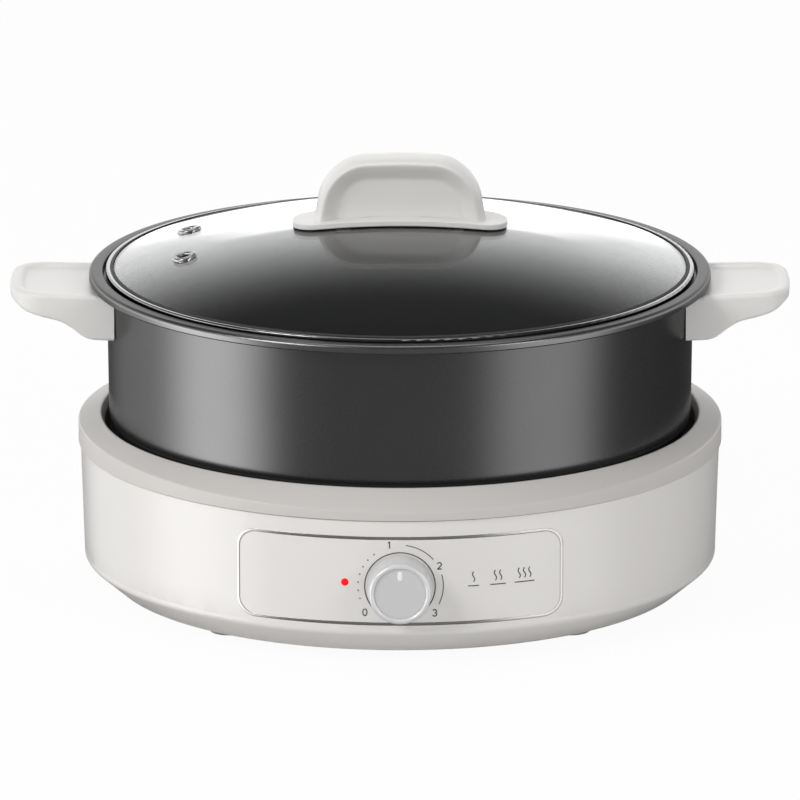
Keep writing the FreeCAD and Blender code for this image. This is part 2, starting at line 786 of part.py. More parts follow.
def plate_screws():
    """Screws up through the pan into the plate's bosses."""
    return [
        screw(SCREW_M4, polar(PLATE_BOSS_AT, d, PAN_FLOOR_Z), Vector(0, 0, 1)) for d in plate_boss_degrees()
    ]


def sensor_plunger():
    """Cap that presses on the pot's bottom, with a stem down through the guide."""
    groove_high = STEM_LOW_Z + 2 * CLIP_T + RUN
    groove_low = STEM_LOW_Z + CLIP_T - RUN
    under = POT_FLOOR_Z - SENSOR_TOP_T
    return turned([
        (0, STEM_LOW_Z),
        (STEM_R, STEM_LOW_Z),
        (STEM_R, groove_low),
        (STEM_R - STEM_GROOVE, groove_low),
        (STEM_R - STEM_GROOVE, groove_high),
        (STEM_R, groove_high),
        (STEM_R, under),
        (SENSOR_R - SENSOR_WALL, under),
        (SENSOR_R - SENSOR_WALL, POT_FLOOR_Z - SENSOR_SKIRT_H),
        (SENSOR_R, POT_FLOOR_Z - SENSOR_SKIRT_H),
        (SENSOR_R, POT_FLOOR_Z, ROUND_MEDIUM),
        (0, POT_FLOOR_Z),
    ])


def sensor_clip():
    """Open ring in the stem's groove that keeps the plunger from leaving."""
    low = STEM_LOW_Z + CLIP_T
    inner = STEM_R - STEM_GROOVE + RUN
    ring = turned([(inner, low), (CLIP_R, low), (CLIP_R, low + CLIP_T), (inner, low + CLIP_T)])
    mouth = Part.makeBox(
        CLIP_R, 2 * MOUTH_SHARE * STEM_R, 2 * CLIP_T, Vector(0, -MOUTH_SHARE * STEM_R, low - CLIP_T / 2)
    )
    return ring.cut(mouth)


def sensor_guide():
    """Pressed cup under the pan that guides the stem and carries the spring."""
    inner = SENSOR_R + GUIDE_GAP
    outer = inner + SENSOR_WALL
    cup = turned([
        (STEM_R + RUN, GUIDE_FLOOR_Z),
        (outer, GUIDE_FLOOR_Z, ROUND_LARGE),
        (outer, PAN_FLOOR_Z - SENSOR_WALL),
        (inner + GUIDE_FLANGE, PAN_FLOOR_Z - SENSOR_WALL),
        (inner + GUIDE_FLANGE, PAN_FLOOR_Z),
        (inner, PAN_FLOOR_Z),
        (inner, GUIDE_FLOOR_Z + SENSOR_WALL),
        (STEM_R + RUN, GUIDE_FLOOR_Z + SENSOR_WALL),
    ])
    rivet_at = inner + GUIDE_FLANGE - RIVET_EDGE
    low = PAN_FLOOR_Z - 2 * SENSOR_WALL
    return cup.cut(screw_holes(rivet_at, rivet_degrees(), RIVET_R + RUN, low, PAN_FLOOR_Z + OVER))


def guide_rivets():
    """Rivets that hold the guide to the pan."""
    rivet_at = SENSOR_R + GUIDE_GAP + GUIDE_FLANGE - RIVET_EDGE
    low = PAN_FLOOR_Z - SENSOR_WALL
    high = PAN_FLOOR_Z + PAN_T
    rivet = rod(RIVET_R, Vector(0, 0, low - RIVET_HEAD_T / 2), Vector(0, 0, high + RIVET_HEAD_T / 2))
    rivet = rivet.fuse([
        rod(RIVET_HEAD_R, Vector(0, 0, low - RIVET_HEAD_T), Vector(0, 0, low)),
        rod(RIVET_HEAD_R, Vector(0, 0, high), Vector(0, 0, high + RIVET_HEAD_T)),
    ])
    return [aimed(rivet, polar(rivet_at, d), Vector(0, 0, 1)) for d in rivet_degrees()]


def sensor_spring():
    """Spring between the guide's floor and the cap, as the plain sleeve that its coils fill."""
    low = GUIDE_FLOOR_Z + SENSOR_WALL + FIT
    high = POT_FLOOR_Z - SENSOR_TOP_T - FIT
    inner = SPRING_R - SPRING_WIRE_R
    outer = SPRING_R + SPRING_WIRE_R
    return turned([(inner, low), (outer, low), (outer, high), (inner, high)])


def stat_plate_y():
    """Front face of the thermostat's bracket plate, at the posts' ends."""
    return PANEL_IN - wall_r(KNOB_Z) + STAT_POST_L


def thermostat_body():
    """Thermostat's case with its bush, a bore for the shaft and two flat tabs."""
    face_y = stat_plate_y() + STAT_PLATE_T
    case = deepened(rectangle(0, KNOB_Z, STAT_HALF_W, STAT_HALF_H, ROUND_WIDE), face_y, face_y + STAT_DEPTH)
    bush = rod(STAT_BUSH_R, Vector(0, face_y - STAT_BUSH_L, KNOB_Z), Vector(0, face_y + OVER, KNOB_Z))
    tabs = [
        Part.makeBox(
            TAB_T, TAB_L + OVER, TAB_W, Vector(x - TAB_T / 2, face_y + STAT_DEPTH - OVER, KNOB_Z - TAB_W / 2)
        )
        for x in (-STAT_TAB_X, STAT_TAB_X)
    ]
    start = Vector(0, face_y - STAT_BUSH_L - OVER, KNOB_Z)
    bore = rod(KNOB_SHAFT_R + RUN, start, Vector(0, face_y + SHAFT_DEPTH, KNOB_Z))
    return case.fuse([bush] + tabs).cut(bore)


def thermostat_bracket():
    """Flat plate across the two posts that carries the thermostat."""
    y = stat_plate_y()
    half_h = STAT_POST_RISE + STAT_POST_R - RIM_MARGIN
    plate = deepened(rectangle(0, KNOB_Z, STAT_PLATE_HALF_W, half_h, PLATE_CORNER), y, y + STAT_PLATE_T)
    holes = [rod(STAT_BUSH_R + FIT, Vector(0, y - OVER, KNOB_Z), Vector(0, y + STAT_PLATE_T + OVER, KNOB_Z))]
    for rise in (-STAT_POST_RISE, STAT_POST_RISE):
        start = Vector(0, y - OVER, KNOB_Z + rise)
        holes.append(rod(SCREW_SMALL[2] + HOLE_SLACK, start, start + Vector(0, STAT_PLATE_T + 2 * OVER, 0)))
    return plate.cut(holes)


def thermostat_nut():
    """Thin hexagon nut on the bush, in front of the bracket."""
    y = stat_plate_y()
    corners = [
        (STAT_NUT_R * math.cos(math.radians(60 * i)), KNOB_Z + STAT_NUT_R * math.sin(math.radians(60 * i)))
        for i in range(6)
    ]
    nut = deepened(corners, y - STAT_NUT_T, y)
    return nut.cut(
        rod(STAT_BUSH_R + RUN, Vector(0, y - STAT_NUT_T - OVER, KNOB_Z), Vector(0, y + OVER, KNOB_Z))
    )


def thermostat_screws():
    """Two small screws through the bracket into the posts."""
    y = stat_plate_y() + STAT_PLATE_T
    reach = STAT_PLATE_T + SCREW_SMALL[3] - OVER
    return [
        screw(SCREW_SMALL, Vector(0, y, KNOB_Z + rise), Vector(0, -1, 0), reach)
        for rise in (-STAT_POST_RISE, STAT_POST_RISE)
    ]


def knob_back_y():
    """Knob's back plane, just in front of the panel."""
    return -wall_r(KNOB_Z) - KNOB_GAP


def about_knob(points):
    """Solid turned about the knob's axis from (radius, distance out from the knob's back) points."""
    face = outline(points, lambda r, out: Vector(r, knob_back_y() - out, KNOB_Z))
    return face.revolve(Vector(0, 0, KNOB_Z), Vector(0, 1, 0), 360)


def marker_block(margin, depth):
    """Block of the knob's marker, grown sideways by a margin."""
    z = KNOB_Z + MARKER_RISE
    front = knob_back_y() - KNOB_H + KNOB_FACE_DROP
    points = rectangle(0, z, MARKER_W / 2 + margin, MARKER_L / 2 + margin, MARKER_W * NEAR_HALF)
    return deepened(points, front - FIT, front + depth)


def knob_cap():
    """Knob: tapered side, rounded rim, sunk face with the marker's slot, hollow back with a hub."""
    floor = KNOB_H - KNOB_FACE_DROP - KNOB_WALL
    cap = about_knob([
        (KNOB_SHAFT_R + RUN, 0),
        (KNOB_HUB_R, 0),
        (KNOB_HUB_R, floor),
        (KNOB_R_FRONT - KNOB_WALL, floor),
        (KNOB_R_BACK - KNOB_WALL, 0),
        (KNOB_R_BACK, 0, ROUND_HAIR),
        (KNOB_R_FRONT, KNOB_H, ROUND_EDGE),
        (KNOB_FACE_R + KNOB_FACE_SLOPE, KNOB_H, ROUND_HAIR),
        (KNOB_FACE_R, KNOB_H - KNOB_FACE_DROP, ROUND_HAIR),
        (0, KNOB_H - KNOB_FACE_DROP),
        (0, floor),
        (KNOB_SHAFT_R + RUN, floor),
    ])
    return cap.cut(marker_block(RUN, MARKER_DEPTH + OVER))


def knob_marker():
    """White insert in the knob's face that shows where it points."""
    return marker_block(0.0, MARKER_DEPTH)


def knob_shaft():
    """Steel shaft from the knob's hub into the thermostat."""
    out = KNOB_H - KNOB_FACE_DROP - KNOB_WALL - FIT
    end_y = stat_plate_y() + STAT_PLATE_T + SHAFT_DEPTH - OVER
    return rod(KNOB_SHAFT_R, Vector(0, knob_back_y() - out, KNOB_Z), Vector(0, end_y, KNOB_Z))


def led_seat_y():
    """Back of the panel's flange where the indicator's collar would touch it first."""
    inner = wall_r(LED_Z) - PANEL_IN
    reach = abs(LED_X) + LED_R + LED_COLLAR
    return -math.sqrt(inner ** 2 - reach ** 2) + STEP_IN


def indicator_lens():
    """Red lens through the panel, with a collar behind it."""
    skin = wall_r(LED_Z)
    front = -math.sqrt(skin ** 2 - LED_X ** 2) - LED_PROUD
    barrel = rod(LED_R, Vector(LED_X, front, LED_Z), Vector(LED_X, led_seat_y() + LED_PROUD, LED_Z))
    barrel = barrel.makeFillet(ROUND_SMALL, [e for e in barrel.Edges if e.BoundBox.YMax < front + FIT])
    collar = rod(
        LED_R + LED_COLLAR, Vector(LED_X, led_seat_y(), LED_Z), Vector(LED_X, led_seat_y() + OVER, LED_Z)
    )
    return barrel.fuse(collar)


def indicator_lamp():
    """Neon lamp behind the lens, with a rounded back."""
    start = Vector(LED_X, led_seat_y() + OVER, LED_Z)
    end = start + Vector(0, LAMP_L, 0)
    return rod(LAMP_R, start, end).fuse(Part.makeSphere(LAMP_R, end))


def inlet_screw_holes(radius, back_y):
    """Holes for the inlet's two screws, in from the back."""
    x = (NOSE_HALF_W + SOCKET_HALF_W) / 2
    return [
        rod(radius, Vector(side * x, HOOD_BACK_Y - INLET_HOLE_L, INLET_Z), Vector(side * x, back_y, INLET_Z))
        for side in (-1, 1)
    ]


def pin_block(x, z, margin, front_y, back_y):
    """Flat pin or its slot."""
    return deepened(rectangle(x, z, PIN_W / 2 + margin, PIN_H / 2 + margin), front_y, back_y)


def pin_places():
    """Middles of the two line pins and the earth pin."""
    low = INLET_Z - PIN_DROP
    return ((-PIN_PITCH, low), (PIN_PITCH, low), (0.0, INLET_Z + PIN_DROP))


def inlet_socket():
    """Moulded inlet: block inside the hood, nose through its window, recess for a plug."""
    block = deepened(
        rectangle(0, INLET_Z, SOCKET_HALF_W, SOCKET_HALF_H, SOCKET_CORNER),
        SOCKET_FRONT_Y,
        HOOD_BACK_Y - SHELL_WALL - FIT,
    )
    nose_y = HOOD_BACK_Y - STEP_IN
    nose = deepened(
        rectangle(0, INLET_Z, NOSE_HALF_W, NOSE_HALF_H, NOSE_CORNER), SOCKET_FRONT_Y + NOSE_ROOT, nose_y
    )
    recess = deepened(
        [
            (-RECESS_HALF_W, INLET_Z - RECESS_HALF_H, ROUND_EDGE),
            (RECESS_HALF_W, INLET_Z - RECESS_HALF_H, ROUND_EDGE),
            (RECESS_HALF_W, INLET_Z + RECESS_HALF_H - RECESS_CUT, ROUND_EDGE),
            (RECESS_HALF_W - RECESS_CUT, INLET_Z + RECESS_HALF_H, ROUND_EDGE),
            (RECESS_CUT - RECESS_HALF_W, INLET_Z + RECESS_HALF_H, ROUND_EDGE),
            (-RECESS_HALF_W, INLET_Z + RECESS_HALF_H - RECESS_CUT, ROUND_EDGE),
        ],
        nose_y - RECESS_DEPTH,
        nose_y + OVER,
    )
    slots = [pin_block(x, z, RUN, SOCKET_FRONT_Y - OVER, nose_y) for x, z in pin_places()]
    return block.fuse(nose).cut([recess] + slots + inlet_screw_holes(SCREW_SMALL[2] + RUN, HOOD_BACK_Y))


def inlet_pins():
    """Three flat pins through the socket's floor."""
    back = HOOD_BACK_Y - STEP_IN - PIN_SETBACK
    return [pin_block(x, z, 0.0, SOCKET_FRONT_Y - PIN_TAIL, back) for x, z in pin_places()]


def inlet_screws():
    """Two screws through the hood's face into the socket."""
    x = (NOSE_HALF_W + SOCKET_HALF_W) / 2
    return [
        screw(SCREW_SMALL, Vector(side * x, HOOD_BACK_Y, INLET_Z), Vector(0, -1, 0), INLET_SCREW_L)
        for side in (-1, 1)
    ]


def thermal_fuse():
    """Fuse that lies against the pan's underside."""
    z = PAN_FLOOR_Z - CLIP_SHEET - FUSE_R
    return rod(FUSE_R, Vector(-FUSE_HALF_L, FUSE_Y, z), Vector(FUSE_HALF_L, FUSE_Y, z))


def fuse_clip():
    """Sheet clip round the fuse, with an ear flat on the pan at each side."""
    z = PAN_FLOOR_Z - CLIP_SHEET - FUSE_R
    wide = FUSE_HALF_L / 2
    skin = FUSE_R + CLIP_SHEET
    shell = rod(skin, Vector(-wide, FUSE_Y, z), Vector(wide, FUSE_Y, z))
    ears = Part.makeBox(
        2 * wide, 6 * FUSE_R, CLIP_SHEET, Vector(-wide, FUSE_Y - 3 * FUSE_R, PAN_FLOOR_Z - CLIP_SHEET)
    )
    bore = rod(FUSE_R + RUN, Vector(-wide - OVER, FUSE_Y, z), Vector(wide + OVER, FUSE_Y, z))
    return shell.fuse(ears).cut(bore)


def block_ports():
    """Tops of the terminal block's four ports."""
    top = SHELL_IN_Z + BLOCK_H
    return [Vector(BLOCK_PITCH * (i - 1.5), BLOCK_Y, top) for i in range(4)]


def terminal_block():
    """Moulded block on the shell's floor with four screw ports."""
    points = rectangle(0, BLOCK_Y, BLOCK_HALF_L, BLOCK_HALF_W, ROUND_WIDE)
    block = raised(points, SHELL_IN_Z, SHELL_IN_Z + BLOCK_H)
    return block.cut(
        [rod(WIRE_R + FIT, p - Vector(0, 0, PORT_DEPTH), p + Vector(0, 0, OVER)) for p in block_ports()]
    )


def internal_wires():
    """Insulated leads from the inlet to the block, the thermostat, the fuse, the element and the pan."""
    ports = [p - Vector(0, 0, WIRE_IN) for p in block_ports()]
    pin_y = SOCKET_FRONT_Y - PIN_TAIL
    pin_z = INLET_Z - PIN_DROP
    left = polar(ELEMENT_AT, element_ends()[1], PLATE_UNDER_Z - ELEMENT_LEG_L - TAB_L)
    right = polar(ELEMENT_AT, element_ends()[0], PLATE_UNDER_Z - ELEMENT_LEG_L - TAB_L)
    stat_y = stat_plate_y() + STAT_PLATE_T + STAT_DEPTH + TAB_L
    fuse_z = PAN_FLOOR_Z - CLIP_SHEET - FUSE_R
    up = Vector(0, 0, WIRE_RISE)
    drop = Vector(0, 0, -WIRE_DROP)
    line, neutral = Vector(-PIN_PITCH, pin_y, pin_z), Vector(PIN_PITCH, pin_y, pin_z)
    inward = Vector(0, -WIRE_DROP, 0)
    runs = [
        [line, line + inward, ports[0] + up, ports[0]],
        [neutral, neutral + inward, ports[-1] + up, ports[-1]],
        [
            ports[2],
            ports[2] + up,
            Vector(*WIRE_WAYS["right back"]),
            Vector(*WIRE_WAYS["right middle"]),
            Vector(*WIRE_WAYS["right front"]),
            Vector(STAT_TAB_X, stat_y + WIRE_DROP, KNOB_Z),
            Vector(STAT_TAB_X, stat_y, KNOB_Z),
        ],
        [
            Vector(-STAT_TAB_X, stat_y, KNOB_Z),
            Vector(-STAT_TAB_X, stat_y + WIRE_DROP, KNOB_Z),
            Vector(*WIRE_WAYS["left front"]),
            Vector(*WIRE_WAYS["left middle"]),
            left + Vector(*WIRE_WAYS["from left end"]),
            left + drop,
            left,
        ],
        [
            right,
            right + drop,
            right + Vector(*WIRE_WAYS["from right end"]),
            Vector(FUSE_HALF_L + WIRE_RISE, FUSE_Y, fuse_z),
            Vector(FUSE_HALF_L, FUSE_Y, fuse_z),
        ],
        [
            Vector(-FUSE_HALF_L, FUSE_Y, fuse_z),
            Vector(-FUSE_HALF_L - WIRE_DROP, FUSE_Y, fuse_z),
            Vector(-FUSE_HALF_L - EARTH_BEND, FUSE_Y + WIRE_DROP, fuse_z - WIRE_RISE),
            ports[1] + up,
            ports[1],
        ],
        [
            Vector(0, pin_y, INLET_Z + PIN_DROP),
            Vector(0, pin_y - EARTH_BEND, INLET_Z + PIN_DROP),
            Vector(0, pin_y - EARTH_IN, PAN_FLOOR_Z - EARTH_BEND),
            Vector(0, pin_y - EARTH_IN, PAN_FLOOR_Z),
        ],
    ]
    return [tube(run, WIRE_R) for run in runs]


def pot_wall_r(z):
    """Outside radius of the pot's wall at a height."""
    share = (z - POT_FLOOR_Z) / (RIM_UNDER_Z - POT_FLOOR_Z)
    return POT_R_LOW + (POT_R_TOP - POT_R_LOW) * share


def pot_shell():
    """Dark pot: flat bottom, rounded corner, nearly upright wall and a flat flared rim with a step."""
    floor = POT_FLOOR_Z + POT_WALL
    return turned([
        (0, POT_FLOOR_Z),
        (POT_R_LOW, POT_FLOOR_Z, POT_BEND),
        (POT_R_TOP, RIM_UNDER_Z, ROUND_MEDIUM),
        (RIM_R, RIM_UNDER_Z, ROUND_MEDIUM),
        (RIM_R, RIM_Z, ROUND_LARGE),
        (RIM_STEP_R, RIM_Z, ROUND_SMALL),
        (RIM_STEP_R, RIM_STEP_Z),
        (POT_IN_R_TOP, RIM_STEP_Z, ROUND_SMALL),
        (POT_R_LOW - POT_WALL, floor, POT_BEND - POT_WALL),
        (0, floor),
    ])


def handle_plan(border, root_x):
    """Handle's outline from above on the +X side, drawn in by a border."""
    tip = HANDLE_TIP_X - border
    half = HANDLE_TIP_HALF_W - border
    root_half = HANDLE_ROOT_HALF_W - border
    return [
        (root_x, -root_half),
        (tip - HANDLE_TIP_BOW, -half, HANDLE_TIP_ROUND - border),
        (tip, 0, HANDLE_TIP_SWEEP),
        (tip - HANDLE_TIP_BOW, half, HANDLE_TIP_ROUND - border),
        (root_x, root_half),
    ]


def handle_bracket(margin=0.0):
    """Bracket on the +X side: a curved flange on the pot's wall and a tongue out into the handle."""
    top = RIM_Z - TONGUE_DROP + margin
    wall = pot_wall_r(RIM_Z - TONGUE_DROP) + FIT
    half = TONGUE_HALF_W + margin
    flange_low = RIM_Z - TONGUE_DROP - TONGUE_FLANGE_H - margin
    flange = turned([
        (wall, flange_low),
        (wall + TONGUE_FLANGE_T + margin, flange_low),
        (wall + TONGUE_FLANGE_T + margin, top),
        (wall, top),
    ])
    flange = flange.common(Part.makeBox(RIM_R, 2 * half, RIM_Z, Vector(0, -half, 0)))
    low = RIM_Z - TONGUE_DROP - TONGUE_T - margin
    tongue = raised(rectangle(wall + TONGUE_OUT / 2, 0, TONGUE_OUT / 2 + margin, half), low, top)
    tongue = tongue.cut(rod(wall, Vector(0, 0, 0), Vector(0, 0, RIM_Z)))
    return flange.fuse(tongue)


def handle_screw_hole(radius, low_drop, high_drop):
    """Upright hole at the handle's screw, between two drops below the rim."""
    return rod(
        radius, Vector(HANDLE_SCREW_X, 0, RIM_Z - low_drop), Vector(HANDLE_SCREW_X, 0, RIM_Z - high_drop)
    )


def side_handle():
    """Handle on the +X side: waisted underside, dished top, hollows for its bracket and screw."""
    side = [(x, RIM_Z - drop, corner) for x, drop, corner in HANDLE_UNDER]
    side += [(HANDLE_ROOT_X, RIM_Z - HANDLE_ROOT_DROP), (HANDLE_TIP_X, RIM_Z - HANDLE_TIP_DROP)]
    reach = HANDLE_ROOT_HALF_W + OVER
    body = deepened(side, -reach, reach)
    body = body.common(raised(handle_plan(0.0, HANDLE_ROOT_X), POT_FLOOR_Z, RIM_Z))
    top_edges = [
        e for e in body.Edges
        if e.BoundBox.ZMin > RIM_Z - HANDLE_ROOT_DROP - FIT and e.BoundBox.XMax > HANDLE_ROOT_X + OVER
    ]
    body = body.makeFillet(HANDLE_EDGE_ROUND, top_edges)
    dish = raised(
        handle_plan(HANDLE_DISH_BORDER, HANDLE_ROOT_X), RIM_Z - HANDLE_TIP_DROP - HANDLE_DISH_DEPTH, RIM_Z
    )
    wall = rod(pot_wall_r(RIM_UNDER_Z) + STEP_IN, Vector(0, 0, 0), Vector(0, 0, RIM_Z))
    under = HANDLE_UNDER[-1][1] + OVER
    holes = [
        handle_screw_hole(SCREW_M4[0] + HEAD_SLACK, under, HANDLE_SCREW_SEAT_DROP),
        handle_screw_hole(SCREW_M4[2] + HOLE_SLACK, under, TONGUE_DROP - SCREW_HEADROOM),
    ]
    return body.cut([dish, wall, handle_bracket(FIT)] + holes)


def both_sides(solid):
    """A +X-side solid and its half-turned twin."""
    twin = solid.copy()
    twin.rotate(Vector(0, 0, 0), Vector(0, 0, 1), 180)
    return [solid, twin]


def handle_brackets():
    """Brackets on both sides, each with a hole for its screw."""
    hole = handle_screw_hole(SCREW_M4[2] + RUN, TONGUE_DROP + TONGUE_T + OVER, TONGUE_DROP - OVER)
    return both_sides(handle_bracket().cut(hole))


def handle_screws():
    """Screws up through both handles into the brackets' tongues."""
    seat = Vector(HANDLE_SCREW_X, 0, RIM_Z - HANDLE_SCREW_SEAT_DROP)
    reach = HANDLE_SCREW_SEAT_DROP - TONGUE_DROP + 2
    return both_sides(screw(SCREW_M4, seat, Vector(0, 0, 1), reach))


def dome_layer(low, high, radius):
    """Part of the dome between two offsets from the glass's outside, within a radius."""
    centre = Vector(0, 0, DOME_CENTRE_Z)
    shell = Part.makeSphere(DOME_R + high, centre).cut(Part.makeSphere(DOME_R + low, centre))
    return shell.common(rod(radius, Vector(0, 0, RIM_Z - DOME_RISE), Vector(0, 0, GRIP_TOP_Z)))


def dome_z(radius, offset=0.0):
    """Height of the glass's outside, or of a layer over it, at a distance from the axis."""
    return DOME_CENTRE_Z + math.sqrt((DOME_R + offset) ** 2 - radius ** 2)


def eyelet_axis(x, y):
    """Seat and outward direction of an eyelet on the dome."""
    seat = Vector(x, y, dome_z(math.hypot(x, y)))
    return seat, (seat - Vector(0, 0, DOME_CENTRE_Z)).normalize()


def lid_glass():
    """Domed glass with two holes for eyelets and two for the grip's screws."""
    holes = []
    for x, y in EYELETS:
        seat, out = eyelet_axis(x, y)
        holes.append(rod(EYELET_TUBE_R + FIT, seat - out * 3 * GLASS_T, seat + out * GLASS_T))
    for x in (-LID_SCREW_X, LID_SCREW_X):
        holes.append(rod(SCREW_LID[2] + GLASS_SLACK, Vector(x, 0, RIM_Z), Vector(x, 0, GRIP_TOP_Z)))
    return dome_layer(-GLASS_T, 0.0, GLASS_R).cut(holes)


def lid_rim():
    """Steel band round the glass, with a lip under it and a skirt down into the pot."""
    skirt_r = POT_IN_R_TOP - LID_SKIRT_GAP
    lip_top = dome_z(LID_LIP_R, -GLASS_T) + HOLE_SLACK
    band = turned([
        (LID_LIP_R, RIM_STEP_Z),
        (skirt_r - LID_SKIRT_T, RIM_STEP_Z),
        (skirt_r - LID_SKIRT_T, RIM_STEP_Z - LID_SKIRT_H),
        (skirt_r, RIM_STEP_Z - LID_SKIRT_H),
        (skirt_r, RIM_STEP_Z),
        (LID_R, RIM_STEP_Z),
        (LID_R, BAND_TOP_Z, ROUND_BAND),
        (LID_BAND_IN_R, BAND_TOP_Z, ROUND_FINE),
        (LID_BAND_IN_R, lip_top),
        (LID_LIP_R, lip_top),
    ])
    return band.cut(dome_layer(-GLASS_T - RUN, RUN, GLASS_R + RUN)).Solids


def lid_seal():
    """Thin dark seal on the glass along the inside of the steel band."""
    ring_out = rod(LID_BAND_IN_R - RUN, Vector(0, 0, RIM_Z), Vector(0, 0, GRIP_TOP_Z))
    ring_in = rod(LID_BAND_IN_R - RUN - SEAL_W, Vector(0, 0, RIM_Z - OVER), Vector(0, 0, GRIP_TOP_Z))
    return dome_layer(0.0, SEAL_T, GLASS_R).common(ring_out).cut(ring_in)


def steam_eyelets():
    """Steel eyelets through the glass, each with a flange above and below."""
    eyelet = turned([
        (EYELET_BORE_R, -GLASS_T - EYELET_T),
        (EYELET_R - EYELET_LIP, -GLASS_T - EYELET_T, ROUND_HAIR),
        (EYELET_R - EYELET_LIP, -GLASS_T - FIT / 2),
        (EYELET_TUBE_R, -GLASS_T - FIT / 2),
        (EYELET_TUBE_R, FIT / 2),
        (EYELET_R, FIT / 2),
        (EYELET_R, EYELET_T, ROUND_SMALL),
        (EYELET_BORE_R, EYELET_T, ROUND_LIP),
    ])
    return [aimed(eyelet, *eyelet_axis(x, y)) for x, y in EYELETS]


def footplate_points(margin):
    """Outline of the grip's foot plate from above, drawn in by a margin."""
    return rectangle(0, 0, FOOTPLATE_HALF_L - margin, FOOTPLATE_HALF_W - margin, FOOTPLATE_ROUND - margin)


def lid_screw_bores(radius):
    """Upright bores at the grip's two screws."""
    top = DOME_TOP_Z + PAD_T + FOOTPLATE_T + LID_SCREW_REACH
    return [rod(radius, Vector(x, 0, RIM_Z), Vector(x, 0, top)) for x in (-LID_SCREW_X, LID_SCREW_X)]


def lid_handle_pad():
    """Thin soft pad between the foot plate and the glass."""
    pad = dome_layer(0.0, PAD_T, GLASS_R).common(raised(footplate_points(PAD_MARGIN), RIM_Z, GRIP_TOP_Z))
    return pad.cut(lid_screw_bores(SCREW_LID[2] + HOLE_SLACK))


def lid_handle_plate():
    """Curved foot plate of the grip, following the dome."""
    plate = dome_layer(PAD_T, PAD_T + FOOTPLATE_T, GLASS_R).common(
        raised(footplate_points(0.0), RIM_Z, GRIP_TOP_Z)
    )
    return plate.cut(lid_screw_bores(SCREW_LID[2] + HOLE_SLACK))


def grip_outline(inset, low_z):
    """Grip's outline from the front, drawn in by an inset at its sides and top."""
    shoulder_z = GRIP_TOP_Z - GRIP_SHOULDER_DROP - inset
    return [
        (-(GRIP_HALF_W - inset), low_z),
        (GRIP_HALF_W - inset, low_z),
        (GRIP_SHOULDER_X - inset, shoulder_z, GRIP_ROUND - inset),
        (0, GRIP_TOP_Z - inset, GRIP_TOP_SWEEP),
        (-(GRIP_SHOULDER_X - inset), shoulder_z, GRIP_ROUND - inset),
    ]


def lid_handle_grip():
    """Arched grip with a hollow for the fingers at the front and at the back, on its foot plate."""
    low = dome_z(GRIP_HALF_W, PAD_T + FOOTPLATE_T) - OVER
    body = deepened(grip_outline(0.0, low), -GRIP_HALF_D, GRIP_HALF_D)
    rims = [e for e in body.Edges if e.BoundBox.YLength < FIT and e.BoundBox.ZMax > low + OVER]
    body = body.makeFillet(GRIP_EDGE, rims)
    inner = grip_outline(GRIP_RIM_W, low)
    web = GRIP_HALF_D - GRIP_RECESS
    hollows = [deepened(inner, web, GRIP_HALF_D + OVER), deepened(inner, -GRIP_HALF_D - OVER, -web)]
    under = Part.makeSphere(DOME_R + PAD_T + FOOTPLATE_T, Vector(0, 0, DOME_CENTRE_Z))
    return body.cut(hollows + [under] + lid_screw_bores(SCREW_LID[2] + RUN))


def lid_screw_seat(x):
    """Underside of the washer of the screw at x."""
    return Vector(x, 0, dome_z(abs(x) + WASHER_R, -GLASS_T) - WASHER_T)


def lid_screws():
    """Screws up through the glass into the grip."""
    top = DOME_TOP_Z + PAD_T + FOOTPLATE_T + LID_SCREW_REACH - OVER
    screws = []
    for x in (-LID_SCREW_X, LID_SCREW_X):
        seat = lid_screw_seat(x)
        screws.append(screw(SCREW_LID, seat, Vector(0, 0, 1), top - seat.z))
    return screws


def lid_washers():
    """Washers between the screws' heads and the glass's underside."""
    washers = []
    for x in (-LID_SCREW_X, LID_SCREW_X):
        low = lid_screw_seat(x)
        high = low + Vector(0, 0, WASHER_T)
        bore = rod(SCREW_LID[2] + HOLE_SLACK, low - Vector(0, 0, 1), high + Vector(0, 0, 1))
        washers.append(rod(WASHER_R, low, high).cut(bore))
    return washers


os.makedirs(PARTS, exist_ok=True)
save("base_shell", base_shell())
save("control_panel", control_panel())
save("top_ring", top_ring())
save("bottom_cover", bottom_cover())
save("cover_screws", *cover_screws())
save("base_screws", *base_screws())
save("rubber_feet", *rubber_feet())
save("well_pan", well_pan())
save("pan_screws", *pan_screws())
save("heating_plate", heating_plate())
save("heating_element", heating_element())
save("plate_screws", *plate_screws())
save("sensor_plunger", sensor_plunger())
save("sensor_clip", sensor_clip())
save("sensor_guide", sensor_guide())
save("guide_rivets", *guide_rivets())
save("sensor_spring", sensor_spring())
save("thermostat_body", thermostat_body())
save("thermostat_bracket", thermostat_bracket())
save("thermostat_nut", thermostat_nut())
save("thermostat_screws", *thermostat_screws())
save("knob_cap", knob_cap())
save("knob_marker", knob_marker())
save("knob_shaft", knob_shaft())
save("indicator_lens", indicator_lens())
save("indicator_lamp", indicator_lamp())
save("inlet_socket", inlet_socket())
save("inlet_pins", *inlet_pins())
save("inlet_screws", *inlet_screws())
save("thermal_fuse", thermal_fuse())
save("fuse_clip", fuse_clip())
save("terminal_block", terminal_block())
save("internal_wires", *internal_wires())
save("pot_shell", pot_shell())
right_handle, left_handle = both_sides(side_handle())
save("handle_right", right_handle)
save("handle_left", left_handle)
save("handle_brackets", *handle_brackets())
save("handle_screws", *handle_screws())
save("lid_glass", lid_glass())
save("lid_rim", *lid_rim())
save("lid_seal", lid_seal())
save("steam_eyelets", *steam_eyelets())
save("lid_handle_grip", lid_handle_grip())
save("lid_handle_plate", lid_handle_plate())
save("lid_handle_pad", lid_handle_pad())
save("lid_screws", *lid_screws())
save("lid_washers", *lid_washers())
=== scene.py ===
import json
import math

